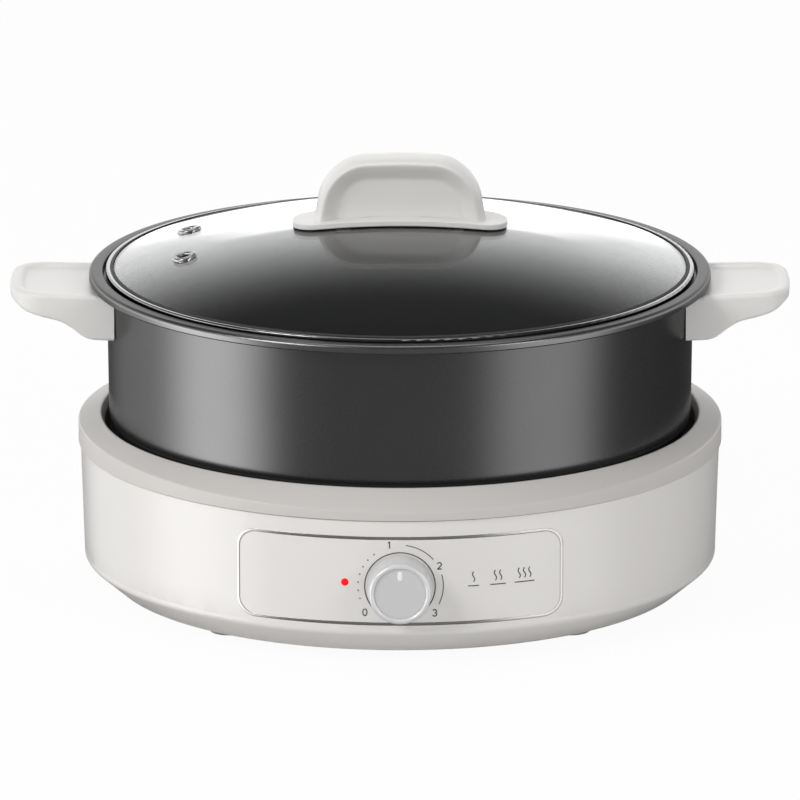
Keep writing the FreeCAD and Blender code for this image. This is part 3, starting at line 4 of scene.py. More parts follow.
import bmesh
import bpy
import numpy as np
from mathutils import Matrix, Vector

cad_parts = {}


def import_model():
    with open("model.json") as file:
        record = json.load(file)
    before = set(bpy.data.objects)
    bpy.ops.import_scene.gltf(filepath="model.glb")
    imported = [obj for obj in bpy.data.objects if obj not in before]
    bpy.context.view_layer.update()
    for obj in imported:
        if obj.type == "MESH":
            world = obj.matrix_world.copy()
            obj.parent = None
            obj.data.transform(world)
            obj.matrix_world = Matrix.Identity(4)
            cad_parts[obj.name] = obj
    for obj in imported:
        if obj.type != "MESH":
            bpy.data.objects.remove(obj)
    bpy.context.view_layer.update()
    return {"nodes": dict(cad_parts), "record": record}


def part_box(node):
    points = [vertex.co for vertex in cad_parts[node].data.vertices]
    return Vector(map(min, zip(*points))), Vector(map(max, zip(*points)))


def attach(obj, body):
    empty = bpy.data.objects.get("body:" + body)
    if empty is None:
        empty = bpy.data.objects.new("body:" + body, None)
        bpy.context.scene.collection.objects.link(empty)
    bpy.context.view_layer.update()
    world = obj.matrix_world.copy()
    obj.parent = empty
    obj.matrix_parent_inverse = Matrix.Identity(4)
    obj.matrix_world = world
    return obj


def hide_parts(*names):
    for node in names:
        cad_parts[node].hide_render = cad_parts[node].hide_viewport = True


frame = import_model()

# An electric hot pot on a pale floor: heating base, lift-off pot with two handles, lift-off glass lid.
# Metres, in the frame of the loaded model. Lengths named in millimetres are turned by MM.

MM = 0.001


def span(node):
    """Lowest and highest corner of a node, in millimetres."""
    low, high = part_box(node)
    return np.array(low) / MM, np.array(high) / MM


# Levels and radii read from the frame
RING_HIGH = span("top_ring")[1]
POT_LOW, POT_HIGH = span("pot_shell")
HANDLE_HIGH = span("handle_right")[1]
GRIP_HIGH = span("lid_handle_grip")[1]
PLATE_LOW, PLATE_HIGH = span("lid_handle_plate")
KNOB_LOW, KNOB_HIGH = span("knob_cap")
SHELL_LOW, SHELL_HIGH = span("base_shell")
MARKER_LOW, MARKER_HIGH = span("knob_marker")
MARKER_CORNER = 1.1

RIM_Z = POT_HIGH[2]
RIM_R = POT_HIGH[0]
POT_FLOOR_Z = POT_LOW[2]
RING_R = RING_HIGH[0]
CREST_Z = RING_HIGH[2]
SEAM_Z = SHELL_HIGH[2]
KNOB_Z = (KNOB_LOW[2] + KNOB_HIGH[2]) / 2
KNOB_R = (KNOB_HIGH[0] - KNOB_LOW[0]) / 2
KNOB_BACK_Y = KNOB_HIGH[1]
KNOB_H = KNOB_HIGH[1] - KNOB_LOW[1]
GRIP_TOP_Z = GRIP_HIGH[2]
GRIP_HALF_D = GRIP_HIGH[1]

# Base shell's sloping wall
SHELL_R_SEAM = 159.7
SHELL_R_LOW = 157.5
SHELL_FLOOR_Z = SHELL_LOW[2]

# Glass dome
BAND_IN_R = 144.35
GLASS_R = 145.0
GLASS_T = 3.5
DOME_TOP_Z = RIM_Z + 25.0
DOME_RISE = 23.8
DOME_R = (BAND_IN_R ** 2 + DOME_RISE ** 2) / (2 * DOME_RISE)
DOME_CENTRE_Z = DOME_TOP_Z - DOME_R
PAD_T = 0.4
FOOTPLATE_T = 2.9

# Grey ring: its outer edge and the dip at the front, its top, and the skirt that sinks into the base shell
RING_SIDE_Z = 86.2
RING_DIP = 6.7
RING_CREST_R = 149.5
RING_CREST_W = 1.2
RING_SKIRT_R = (154.4, 156.8)
RING_SKIRT_DROP = 4.8
RING_SKIRT_RISE = 2.0
RING_WALL = 2.4
RING_UNDER = 5.5
SEAM_GAP = 0.4

# Well inside the ring, and the shelf at its foot
WELL_R = 147.5
WELL_EDGE_DROP = 3.5
SHELF_Z = 63.0
SHELF_T = 2.5
SHELF_R = 134.0

# Pot: wall, bend at the floor, and the flat rim with the step that the lid sits in
POT_R_TOP = 146.2
POT_R_LOW = 145.2
POT_WALL = 2.0
POT_BEND = 24.0
RIM_T = 4.4
RIM_STEP_R = 148.2
RIM_STEP_DROP = 3.2
RIM_STEP_SLOPE = 0.3
WALL_GAP = 0.25

# Steps round a lathed piece and along a rounded corner, and the least angle of a sharp edge
TURNS = 512
ARC_STEPS = 7
SHARP_ANGLE = math.radians(38)


# Geometry helpers

def unit(v):
    """Vectors scaled to length one along their last axis."""
    return v / np.maximum(np.linalg.norm(v, axis=-1, keepdims=True), 1e-12)


def rounded(points, steps=ARC_STEPS, closed=True):
    """Outline through (a, b, round) corners: a corner with a round becomes a tangent arc of that radius,
    whose centre lies round / sin(half the corner's angle) along the corner's middle line."""
    out = []
    last = len(points) - 1
    for i, (a, b, radius) in enumerate(points):
        corner = np.array([a, b], float)
        if radius == 0 or (not closed and i in (0, last)):
            out.append(corner[None])
            continue
        back = unit(np.array(points[i - 1][:2], float) - corner)
        ahead = unit(np.array(points[(i + 1) % len(points)][:2], float) - corner)
        half = math.acos(float(np.clip(back @ ahead, -1, 1))) / 2
        run = radius / math.tan(half)
        centre = corner + unit(back + ahead) * radius / math.sin(half)
        start = corner + back * run - centre
        end = corner + ahead * run - centre
        first = math.atan2(start[1], start[0])
        sweep = (math.atan2(end[1], end[0]) - first + math.pi) % (2 * math.pi) - math.pi
        turn = first + sweep * np.linspace(0, 1, steps)
        out.append(centre + radius * np.stack([np.cos(turn), np.sin(turn)], axis=1))
    return np.vstack(out)


def spaced(outline, count):
    """Closed outline resampled at even steps of its length."""
    loop = np.vstack([outline, outline[:1]])
    run = np.r_[0, np.cumsum(np.linalg.norm(np.diff(loop, axis=0), axis=1))]
    at = np.linspace(0, run[-1], count, endpoint=False)
    return np.stack([np.interp(at, run, loop[:, k]) for k in (0, 1)], axis=1)


def drawn_in(outline, distance):
    """Closed outline moved inward by a distance along its normals; it runs anticlockwise."""
    along = unit(np.roll(outline, -1, axis=0) - np.roll(outline, 1, axis=0))
    inward = np.stack([-along[:, 1], along[:, 0]], axis=1)
    return outline + inward * distance


def surface(name, grid, wrap_rows, wrap_columns, sharp=SHARP_ANGLE):
    """Piece from a grid of points in millimetres, rows by columns by xyz, joined into quads row to row;
    doubled points at poles are merged and the faces turned outward."""
    rows, columns = grid.shape[:2]
    index = np.arange(rows * columns).reshape(rows, columns)
    below = np.roll(index, -1, axis=0) if wrap_rows else index[1:]
    here = index if wrap_rows else index[:-1]
    if wrap_columns:
        quads = np.stack([here, np.roll(here, -1, 1), np.roll(below, -1, 1), below], axis=-1)
    else:
        quads = np.stack([here[:, :-1], here[:, 1:], below[:, 1:], below[:, :-1]], axis=-1)
    mesh = bpy.data.meshes.new(name)
    mesh.from_pydata((grid.reshape(-1, 3) * MM).tolist(), [], quads.reshape(-1, 4).tolist())
    return finished(name, mesh, sharp)


def finished(name, mesh, sharp=SHARP_ANGLE):
    """Object at the origin from a mesh, with doubles merged, loose edges deleted, normals outward and
    smooth faces."""
    work = bmesh.new()
    work.from_mesh(mesh)
    bmesh.ops.remove_doubles(work, verts=work.verts, dist=1e-6)
    bmesh.ops.dissolve_degenerate(work, edges=work.edges, dist=1e-7)
    bmesh.ops.delete(work, geom=[edge for edge in work.edges if not edge.link_faces], context="EDGES")
    bmesh.ops.recalc_face_normals(work, faces=work.faces)
    if all(edge.is_manifold for edge in work.edges) and work.calc_volume(signed=True) < 0:
        bmesh.ops.reverse_faces(work, faces=work.faces)
    work.to_mesh(mesh)
    work.free()
    mesh.polygons.foreach_set("use_smooth", np.ones(len(mesh.polygons), bool))
    mesh.set_sharp_from_angle(angle=sharp)
    piece = bpy.data.objects.new(name, mesh)
    bpy.context.scene.collection.objects.link(piece)
    return piece


def lathe(name, outline, turns=TURNS):
    """Closed outline of (radius, height) points turned about Z: x = r cos t, y = r sin t."""
    turn = np.linspace(0, 2 * np.pi, turns, endpoint=False)
    r, z = outline[:, 0][:, None], outline[:, 1][:, None]
    grid = np.stack([r * np.cos(turn), r * np.sin(turn), z + 0 * turn], axis=-1)
    return surface(name, grid, True, True)


def cut(piece, tool):
    """Cuts another object out of a piece and removes that object."""
    change = piece.modifiers.new("cut", "BOOLEAN")
    change.object = tool
    change.operation = "DIFFERENCE"
    change.solver = "EXACT"
    graph = bpy.context.evaluated_depsgraph_get()
    mesh = bpy.data.meshes.new_from_object(piece.evaluated_get(graph))
    piece.modifiers.clear()
    piece.data = mesh
    bpy.data.objects.remove(tool)
    mesh.set_sharp_from_angle(angle=SHARP_ANGLE)
    return piece


def layered(name, outline, layers, lift, sharp=SHARP_ANGLE):
    """Closed body from a plane outline and layers of (inset, level): each layer is the outline drawn in by
    its inset, or shrunk to a pole where that is None, and placed by lift(points, level)."""
    rows = []
    middle = outline.mean(axis=0)
    for inset, level in layers:
        pole = np.repeat(middle[None], len(outline), axis=0)
        ring = pole if inset is None else drawn_in(outline, inset)
        rows.append(lift(ring, level))
    return surface(name, np.stack(rows), False, True, sharp)


def dome_z(x, y, offset=0.0):
    """Height of the dome's outside, or of a layer over it: a sphere about a centre below the lid."""
    return DOME_CENTRE_Z + np.sqrt((DOME_R + offset) ** 2 - x ** 2 - y ** 2)


def wall_y(x, z, proud=0.0):
    """Front of the base wall at (x, z): a circle whose radius grows evenly from the floor to the seam."""
    share = (z - SHELL_FLOOR_Z) / (SEAM_Z - SHELL_FLOOR_Z)
    radius = SHELL_R_LOW + (SHELL_R_SEAM - SHELL_R_LOW) * share + proud
    return -np.sqrt(radius ** 2 - x ** 2)


# Pieces

def ring_piece():
    """Grey ring: a cross-section blended between its side form and its front form by the squared cosine
    of the angle from the front, over the front half only, so that the outer top edge dips at the front."""
    skirt_in, skirt_out = RING_SKIRT_R

    def section(edge_z):
        """Cross-section whose outer top edge stands at edge_z."""
        return rounded([
            (RING_CREST_R, CREST_Z, 1.0),
            (RING_CREST_R + RING_CREST_W, CREST_Z, 1.5),
            (RING_R, edge_z, 1.3),
            (RING_R, SEAM_Z + SEAM_GAP, 0.4),
            (skirt_out, SEAM_Z + SEAM_GAP, 0),
            (skirt_out, SEAM_Z - RING_SKIRT_DROP, 0),
            (skirt_in, SEAM_Z - RING_SKIRT_DROP, 0),
            (skirt_in, SEAM_Z + RING_SKIRT_RISE, 0),
            (WELL_R + RING_WALL, CREST_Z - RING_UNDER, 0),
            (WELL_R + RING_WALL, SHELF_Z - SHELF_T, 0),
            (SHELF_R, SHELF_Z - SHELF_T, 0),
            (SHELF_R, SHELF_Z, 0),
            (WELL_R, SHELF_Z, 0.8),
            (WELL_R, CREST_Z - WELL_EDGE_DROP, 2.0),
        ])
    side, front = section(RING_SIDE_Z), section(RING_SIDE_Z - RING_DIP)
    turn = np.linspace(0, 2 * np.pi, TURNS, endpoint=False)
    share = np.clip(-np.sin(turn), 0, None) ** 2
    shape = side[:, None] + (front - side)[:, None] * share[None, :, None]
    grid = np.stack([shape[..., 0] * np.cos(turn), shape[..., 0] * np.sin(turn), shape[..., 1]], axis=-1)
    return surface("ring_top", grid, True, True)


def pot_piece():
    """Pot: one closed outline of floor, bend, near-upright wall and flat flared rim, turned about Z."""
    floor = POT_FLOOR_Z + POT_WALL
    under = RIM_Z - RIM_T
    step = RIM_Z - RIM_STEP_DROP
    outline = rounded([
        (0, POT_FLOOR_Z, 0),
        (POT_R_LOW, POT_FLOOR_Z, POT_BEND),
        (POT_R_TOP, under, 1.2),
        (RIM_R, under, 0.8),
        (RIM_R, RIM_Z, 1.9),
        (RIM_STEP_R, RIM_Z, 0.7),
        (RIM_STEP_R - RIM_STEP_SLOPE, step, 0.3),
        (POT_R_TOP - POT_WALL, step, 0.6),
        (POT_R_LOW - POT_WALL, floor, POT_BEND - POT_WALL),
        (0, floor, 0),
    ], steps=12)
    return lathe("pot_body", outline)


# Slanted lower edge of the base shell: the ring that cuts it, then the thin band that closes it
CHAMFER_TOP = 20.5
CHAMFER_Z = 17.2
CHAMFER_R = 158.0
CHAMFER_FOOT_R = 143.4
CHAMFER_ROUND = 4.0
CHAMFER_PROUD = 0.15
CHAMFER_OUT = 8.0
CHAMFER_BELOW = 2.0
CHAMFER_FLARE = 0.2
BAND_T = 1.9
BAND_WALL = 2.0
BAND_FOOT_W = 2.6
BAND_FOOT_OUT = 0.35
BAND_LAP = 0.5
BAND_IN = 0.02
BAND_ABOVE = 0.03


def shell_piece():
    """Base shell with its lower edge slanted: a copy of the node's mesh, less a ring whose inner side is
    the slant from the wall to the floor."""
    skin = bpy.data.objects.new("base_skin", frame["nodes"]["base_shell"].data.copy())
    bpy.context.scene.collection.objects.link(skin)
    foot_z = SHELL_FLOOR_Z - CHAMFER_PROUD
    tool = lathe("slant", rounded([
        (CHAMFER_R + CHAMFER_FLARE, CHAMFER_TOP, 0),
        (CHAMFER_R, CHAMFER_Z + CHAMFER_PROUD, CHAMFER_ROUND),
        (CHAMFER_FOOT_R, foot_z, 0),
        (CHAMFER_FOOT_R, foot_z - CHAMFER_BELOW, 0),
        (CHAMFER_R + CHAMFER_OUT, foot_z - CHAMFER_BELOW, 0),
        (CHAMFER_R + CHAMFER_OUT, CHAMFER_TOP, 0),
    ]))
    return cut(skin, tool)


def slant_piece():
    """Slanted band that closes the base shell's lower edge: a thin cross-section turned about Z."""
    low = SHELL_FLOOR_Z + BAND_ABOVE
    return lathe("base_slant", rounded([
        (CHAMFER_R, CHAMFER_TOP - BAND_LAP, 0),
        (CHAMFER_R - BAND_IN, CHAMFER_Z, CHAMFER_ROUND),
        (CHAMFER_FOOT_R + BAND_FOOT_OUT, low, 0.8),
        (CHAMFER_FOOT_R - BAND_FOOT_W, low, 0),
        (CHAMFER_FOOT_R - BAND_FOOT_W, low + BAND_T, 0),
        (CHAMFER_FOOT_R, low + BAND_T, 0),
        (CHAMFER_R - BAND_WALL, CHAMFER_Z, 0),
        (CHAMFER_R - BAND_WALL, CHAMFER_TOP - BAND_LAP, 0),
    ]))


# Handle: distance of its underside below the rim's top over x, its round edge, the (inset, drop) rows of
# its dished top, its outline from above, and its top's drop below the rim and fall toward the pot
HANDLE_UNDER = (
    (200.0, 9.6), (192.0, 10.6), (187.0, 14.2), (178.0, 16.6), (168.5, 18.8),
    (162.4, 22.4), (158.3, 26.0), (154.5, 27.9), (148.0, 28.3), (130.0, 28.4),
)
HANDLE_EDGE = 2.0
HANDLE_DISH = ((12.0, 1.5), (8.2, 1.45), (7.3, 1.25), (6.5, 0.75), (5.7, 0.3), (4.9, 0.08), (3.6, 0.0))
HANDLE_UNDER_INSET = 8.0
HANDLE_SPREAD = 3.2
HANDLE_ROOT_IN = 0.3
HANDLE_CORNER = 18.0
HANDLE_CORNER_LEAST = 2.0
HANDLE_BOW = 1.6
HANDLE_BOW_R = 120.0
HANDLE_TOP_DROP = 4.3
HANDLE_TOP_FALL = 1.6
HANDLE_SOFTEN = 14
FLANK = np.linspace(0, 1, 30)[1:, None]


def handle_outline(inset):
    """Handle from above on the +X side, drawn in by an inset at its tip and flanks but not at its root:
    root along the pot's wall, straight flanks that spread toward it, soft corners and a blunt bowed tip."""
    tip, half = HANDLE_HIGH[0] - inset, HANDLE_HIGH[1] - HANDLE_SPREAD - inset
    root_half = HANDLE_HIGH[1] - HANDLE_ROOT_IN - inset
    corner = max(HANDLE_CORNER - inset, HANDLE_CORNER_LEAST)
    y = np.linspace(root_half, -root_half, 40)
    root = np.stack([np.sqrt((POT_R_TOP + WALL_GAP) ** 2 - y ** 2), y], axis=1)
    blunt = rounded([
        (*root[-1], 0),
        (tip - HANDLE_BOW, -half, corner),
        (tip, 0, HANDLE_BOW_R),
        (tip - HANDLE_BOW, half, corner),
        (*root[0], 0),
    ], steps=20, closed=False)
    near = root[-1] + (blunt[1] - root[-1]) * FLANK
    far = blunt[-2] + (root[0] - blunt[-2]) * FLANK
    return np.vstack([near, blunt[2:-1], far[:-1], root])


def handle_layers():
    """Insets and heights of a handle's layers: dished top, raised border, round edge, side, underside.
    A height is ("top" or "under", distance below the top or above the underside)."""
    turn = np.linspace(0, np.pi / 2, 8)
    layers = [(inset, ("top", drop)) for inset, drop in HANDLE_DISH]
    layers += [(HANDLE_EDGE * (1 - math.sin(t)), ("top", HANDLE_EDGE * (1 - math.cos(t)))) for t in turn]
    layers += [(HANDLE_EDGE * (1 - math.cos(t)), ("under", HANDLE_EDGE * (1 - math.sin(t)))) for t in turn]
    return layers + [(HANDLE_UNDER_INSET, ("under", 0.0))]


def handle_piece(name, side):
    """Side handle: outlines in layers, closed along the middle of the top and of the underside; the top
    falls evenly toward the pot, and the underside follows a smooth curve over x; side is 1 or -1."""
    xs, drops = np.array(HANDLE_UNDER[::-1]).T
    fine = np.linspace(xs[0], xs[-1], 400)
    window = 2 * HANDLE_SOFTEN + 1
    padded = np.pad(np.interp(fine, xs, drops), HANDLE_SOFTEN, mode="edge")
    soft = np.convolve(padded, np.ones(window) / window, "valid")
    rows = []
    for inset, (where, away) in handle_layers():
        x, y = handle_outline(inset).T
        toward = (HANDLE_HIGH[0] - x) / (HANDLE_HIGH[0] - POT_R_TOP)
        top = RIM_Z - HANDLE_TOP_DROP - HANDLE_TOP_FALL * toward
        low = RIM_Z - np.interp(x, fine, soft)
        z = top - away if where == "top" else np.minimum(low + away, top - 1)
        rows.append(np.stack([x * side, y * side, z], axis=1))
    middles = []
    for end in (0, -1):
        middle = rows[end].copy()
        middle[:, 0] = side * np.maximum(np.abs(middle[:, 0]), POT_R_TOP + WALL_GAP)
        middle[:, 1] = 0
        middles.append(middle)
    return surface(name, np.stack([middles[0], *rows, middles[1]]), False, True, math.radians(50))


# Foot plate: corner, upper edge, and how far its inner layers lie in
PLATE_CORNER = 13.0
PLATE_EDGE = 0.5
PLATE_INSETS = (9.0, 4.0)
PLATE_UNDER = ((0.0, 0.4), (0.3, 0.1), (0.8, 0.0), (9.0, 0.0))


def footplate_piece():
    """Grip's foot plate: a rounded rectangle in layers that follow the dome, with a round upper edge."""
    half_l, half_w = PLATE_HIGH[0], PLATE_HIGH[1]
    outline = spaced(rounded([
        (-half_l, -half_w, PLATE_CORNER),
        (half_l, -half_w, PLATE_CORNER),
        (half_l, half_w, PLATE_CORNER),
        (-half_l, half_w, PLATE_CORNER),
    ], steps=24), 240)
    turn = np.linspace(0, np.pi / 2, 6)
    layers = [(inset, FOOTPLATE_T) for inset in (None, *PLATE_INSETS)]
    layers += [(PLATE_EDGE * (1 - math.sin(t)), FOOTPLATE_T - PLATE_EDGE * (1 - math.cos(t))) for t in turn]
    layers += [*PLATE_UNDER, (None, 0.0)]

    def lift(ring, level):
        """Points of one layer on the dome."""
        x, y = ring.T
        return np.stack([x, y, dome_z(x, y, PAD_T + level)], axis=1)

    return layered("grip_footplate", outline, layers, lift)


# Arched grip: its front outline, its web, and the (inset, distance behind the front) rows of its rim
GRIP_TAPER = 0.036
GRIP_HALF = 43.6
GRIP_SPLAY = 2.4
GRIP_REACH = 14.0
SHOULDER_X = 37.2
SHOULDER_DROP = 1.3
SHOULDER_R = 25.0
CROWN_R = 170.0
WEB_DEEP = 5.0
WEB_INSET = 16.0
SEAT_SUNK = 0.3
WEB_BEND = ((11.4, 0.0), (10.2, 0.12), (9.4, 0.5), (8.6, 1.1), (7.0, 2.4), (5.0, 3.75))
GRIP_RIM = (
    (3.2, 0.3), (2.5, 0.07), (2.0, 0.0), (1.6, 0.12), (1.3, 0.45),
    (0.8, 1.6), (0.4, 3.2), (0.1, 5.6), (0.0, 8.5),
)


def grip_piece():
    """Arched grip: its front outline in layers from the front web over a soft rim to the back web; points
    below the foot plate's top are lifted to just under it."""
    low = PLATE_LOW[2] - GRIP_REACH
    outline = spaced(rounded([
        (-GRIP_HALF - GRIP_SPLAY, low, 0),
        (GRIP_HALF + GRIP_SPLAY, low, 0),
        (SHOULDER_X, GRIP_TOP_Z - SHOULDER_DROP, SHOULDER_R),
        (0, GRIP_TOP_Z, CROWN_R),
        (-SHOULDER_X, GRIP_TOP_Z - SHOULDER_DROP, SHOULDER_R),
    ], steps=30), 420)
    deep, web = GRIP_HALF_D, GRIP_HALF_D - WEB_DEEP
    seat = PAD_T + FOOTPLATE_T - SEAT_SUNK
    front = [(None, web), (WEB_INSET, web)]
    front += [(inset, web + rise) for inset, rise in WEB_BEND]
    front += [(inset, deep - back) for inset, back in GRIP_RIM]
    layers = [(inset, -y) for inset, y in front] + [(inset, y) for inset, y in front[::-1]]

    def lift(ring, level):
        """Points of one layer at its depth."""
        x, z = ring.T
        x = x * (1 - GRIP_TAPER * (level / deep) ** 2)
        return np.stack([x, np.full_like(x, level), np.maximum(z, dome_z(x, level, seat))], axis=1)

    return layered("grip_arch", outline, layers, lift, sharp=math.radians(75))


def rod_tool(name, foot, head, radius, count=48):
    """Closed cylinder between two points, for cutting."""
    foot, head = np.array(foot, float), np.array(head, float)
    along = unit(head - foot)
    side = unit(np.cross(along, [0.3, 0.9, 0.1]))
    other = np.cross(along, side)
    turn = np.linspace(0, 2 * np.pi, count, endpoint=False)[:, None]
    ring = radius * (np.cos(turn) * side + np.sin(turn) * other)
    rows = [np.repeat(foot[None], count, 0), foot + ring, head + ring, np.repeat(head[None], count, 0)]
    return surface(name, np.stack(rows), False, True)


# Steam eyelets: places on the lid, hole, and flange and bore of the steel ring
EYELETS = ((-105.5, 33.0), (-107.0, -23.0))
HOLE_R = 4.35
HOLE_REACH = (9, 5)
BORE_R = 3.1
NECK_R = 4.25
FLANGE_R = 6.25
FLANGE_H = 1.3
UNDER_FLANGE_R = 5.9
UNDER_FLANGE_T = 0.8


def eyelet_seat(x, y):
    """Point on the dome's outside at (x, y) and the outward direction there."""
    seat = np.array([x, y, dome_z(x, y)])
    return seat, unit(seat - np.array([0, 0, DOME_CENTRE_Z]))


def glass_piece():
    """Lid glass: two spheres about one centre joined by an edge, with two holes for the eyelets."""
    r = np.linspace(0, GLASS_R, 90)
    outer = np.stack([r, dome_z(r, 0)], axis=1)
    inner = np.stack([r, dome_z(r, 0, -GLASS_T)], axis=1)
    glass = lathe("lid_dome", np.vstack([outer, inner[::-1]]), turns=384)
    below, above = HOLE_REACH
    for x, y in EYELETS:
        seat, out = eyelet_seat(x, y)
        glass = cut(glass, rod_tool("hole", seat - out * below, seat + out * above, HOLE_R))
    return glass


def eyelet_piece(number, x, y):
    """Eyelet: an outline of flange, bore and lower flange turned about the dome's normal."""
    low, under = -GLASS_T - UNDER_FLANGE_T, -GLASS_T - 0.05
    outline = rounded([
        (BORE_R, low, 0.3),
        (UNDER_FLANGE_R, low, 0.3),
        (UNDER_FLANGE_R, under, 0),
        (NECK_R, under, 0),
        (NECK_R, 0.02, 0),
        (FLANGE_R, 0.02, 0),
        (FLANGE_R, FLANGE_H, 1.2),
        (BORE_R, FLANGE_H, 1.3),
    ], steps=14)
    seat, out = eyelet_seat(x, y)
    side = unit(np.cross(out, [0, 1, 0]))
    other = np.cross(out, side)
    turn = np.linspace(0, 2 * np.pi, 96, endpoint=False)[None, :, None]
    r, h = outline[:, 0][:, None, None], outline[:, 1][:, None, None]
    grid = seat + r * (np.cos(turn) * side + np.sin(turn) * other) + h * out
    return surface(f"eyelet_{number}", grid, True, True)


# Knob: shaft bore, hub, hollow back, tapered side, seat of the rim, sunk face and the rim round it
KNOB_BORE_R = 3.05
KNOB_HUB_R = 6.0
KNOB_HOLLOW_R = (12.9, 13.9)
KNOB_TAPER = 0.9
KNOB_EDGE_DROP = 1.0
KNOB_SEAT_R = (14.9, 14.8)
KNOB_SEAT_EDGE = 0.9
KNOB_SEAT_DROP = 0.2
KNOB_SKIN = 2.4
FACE_SUNK = 1.2
FACE_R = 12.5
KNOB_RIM_R = (12.75, 14.95)
KNOB_RIM_DEEP = 1.5
KNOB_RIM_ROUND = 1.05


def turned_front(name, outline):
    """Closed outline of (radius, distance in front of the knob's back) turned about the knob's axis."""
    turn = np.linspace(0, 2 * np.pi, 256, endpoint=False)
    r, out = outline[:, 0][:, None], outline[:, 1][:, None]
    grid = np.stack([r * np.cos(turn), KNOB_BACK_Y - out + 0 * turn, KNOB_Z + r * np.sin(turn)], axis=-1)
    return surface(name, grid, True, True)


def knob_piece():
    """Knob: tapered side, seat for the rim with the painted highlight, sunk face and hollow back."""
    face = KNOB_H - FACE_SUNK
    floor = face - KNOB_SKIN
    hollow_deep, hollow_back = KNOB_HOLLOW_R
    seat_edge, seat_low = KNOB_SEAT_R
    return turned_front("knob_body", rounded([
        (KNOB_BORE_R, 0, 0),
        (KNOB_HUB_R, 0, 0),
        (KNOB_HUB_R, floor, 0),
        (hollow_deep, floor, 0),
        (hollow_back, 0, 0),
        (KNOB_R, 0, 0.5),
        (KNOB_R - KNOB_TAPER, KNOB_H - KNOB_EDGE_DROP, 0.8),
        (seat_edge, KNOB_H - KNOB_SEAT_EDGE, 0.3),
        (seat_low, face - KNOB_SEAT_DROP, 0),
        (FACE_R + KNOB_SEAT_DROP, face - KNOB_SEAT_DROP, 0),
        (FACE_R, face, 0.3),
        (0, face, 0),
        (0, floor, 0),
        (KNOB_BORE_R, floor, 0),
    ], steps=10))


def knob_rim():
    """Rim of the knob's face, which build gives a lighter finish as a painted highlight: a round-topped
    ring.
    """
    inner, outer = KNOB_RIM_R
    low = KNOB_H - KNOB_RIM_DEEP
    return turned_front("knob_rim", rounded([
        (inner, low, 0), (outer, low, 0), (outer, KNOB_H, KNOB_RIM_ROUND), (inner, KNOB_H, KNOB_RIM_ROUND),
    ], steps=12))


def marker_piece():
    """Marker: a small rounded bar in layers, sunk into the knob's face and a little proud of it."""
    half_w = (MARKER_HIGH[0] - MARKER_LOW[0]) / 2
    low, high = MARKER_LOW[2], MARKER_HIGH[2]
    outline = spaced(rounded([
        (-half_w, low, MARKER_CORNER), (half_w, low, MARKER_CORNER),
        (half_w, high, MARKER_CORNER), (-half_w, high, MARKER_CORNER),
    ], steps=12), 96)
    front, back = MARKER_LOW[1], MARKER_HIGH[1]
    layers = [(None, front), (0.6, front), (0.25, front + 0.05), (0.0, front + 0.3)]
    layers += [(0.0, back), (None, back)]

    def lift(ring, level):
        """Points of one layer at its depth."""
        x, z = ring.T
        return np.stack([x, np.full_like(x, level), z], axis=1)

    return layered("knob_pointer", outline, layers, lift)


# Print on the wall: how far its back and face stand proud, and the widths and places of its marks
PRINT_PROUD = (0.02, 0.07)
DOT_R = 0.38
SCALE_R = 20.6
SWEEP_R = 21.2
FIGURE_R = 21.8
FIGURE_H = 3.4
LINE_W = 0.4
WAVE_W = 0.5
DOT_DEGREES = (-108, -38, 7)
SWEEPS = ((8, 50), (74, 116))
FIGURES = (("0", -128), ("1", -14), ("2", 62), ("3", 129))
HEAT_MARKS = ((1, 36.0), (2, 48.0), (3, 61.0))
HEAT_LINE_Z = 41.0
WAVE_LOW_Z = 43.0
WAVE_H = 5.2
WAVE_APART = 2.6
WAVE_SWING = 0.55


def printed(name, outlines):
    """Thin print on the base wall: each closed outline of (x, z) points becomes a sliver of a layer that
    follows the wall, between the two distances of PRINT_PROUD from it."""
    verts, faces = [], []
    for outline in outlines:
        outline = np.asarray(outline, float)
        count, first = len(outline), len(verts)
        for proud in PRINT_PROUD:
            x, z = outline.T
            verts += (np.stack([x, wall_y(x, z, proud), z], axis=1) * MM).tolist()
        low = list(range(first, first + count))
        high = list(range(first + count, first + 2 * count))
        faces += [low[::-1], high]
        faces += [[low[i], low[(i + 1) % count], high[(i + 1) % count], high[i]] for i in range(count)]
    mesh = bpy.data.meshes.new(name)
    mesh.from_pydata(verts, [], faces)
    return finished(name, mesh)


def disc(x, z, radius, count=20):
    """Outline of a round dot."""
    turn = np.linspace(0, 2 * np.pi, count, endpoint=False)
    return np.stack([x + radius * np.cos(turn), z + radius * np.sin(turn)], axis=1)


def stroke(points, width):
    """Outline of a line of even width along a path of (x, z) points."""
    path = np.asarray(points, float)
    along = unit(np.gradient(path, axis=0))
    side = np.stack([-along[:, 1], along[:, 0]], axis=1) * width / 2
    return np.vstack([path + side, (path - side)[::-1]])


def arc(radius, start, end, count=24):
    """Path along a circle about the knob, in degrees clockwise from the top."""
    turn = np.radians(np.linspace(start, end, count))
    return np.stack([radius * np.sin(turn), KNOB_Z + radius * np.cos(turn)], axis=1)


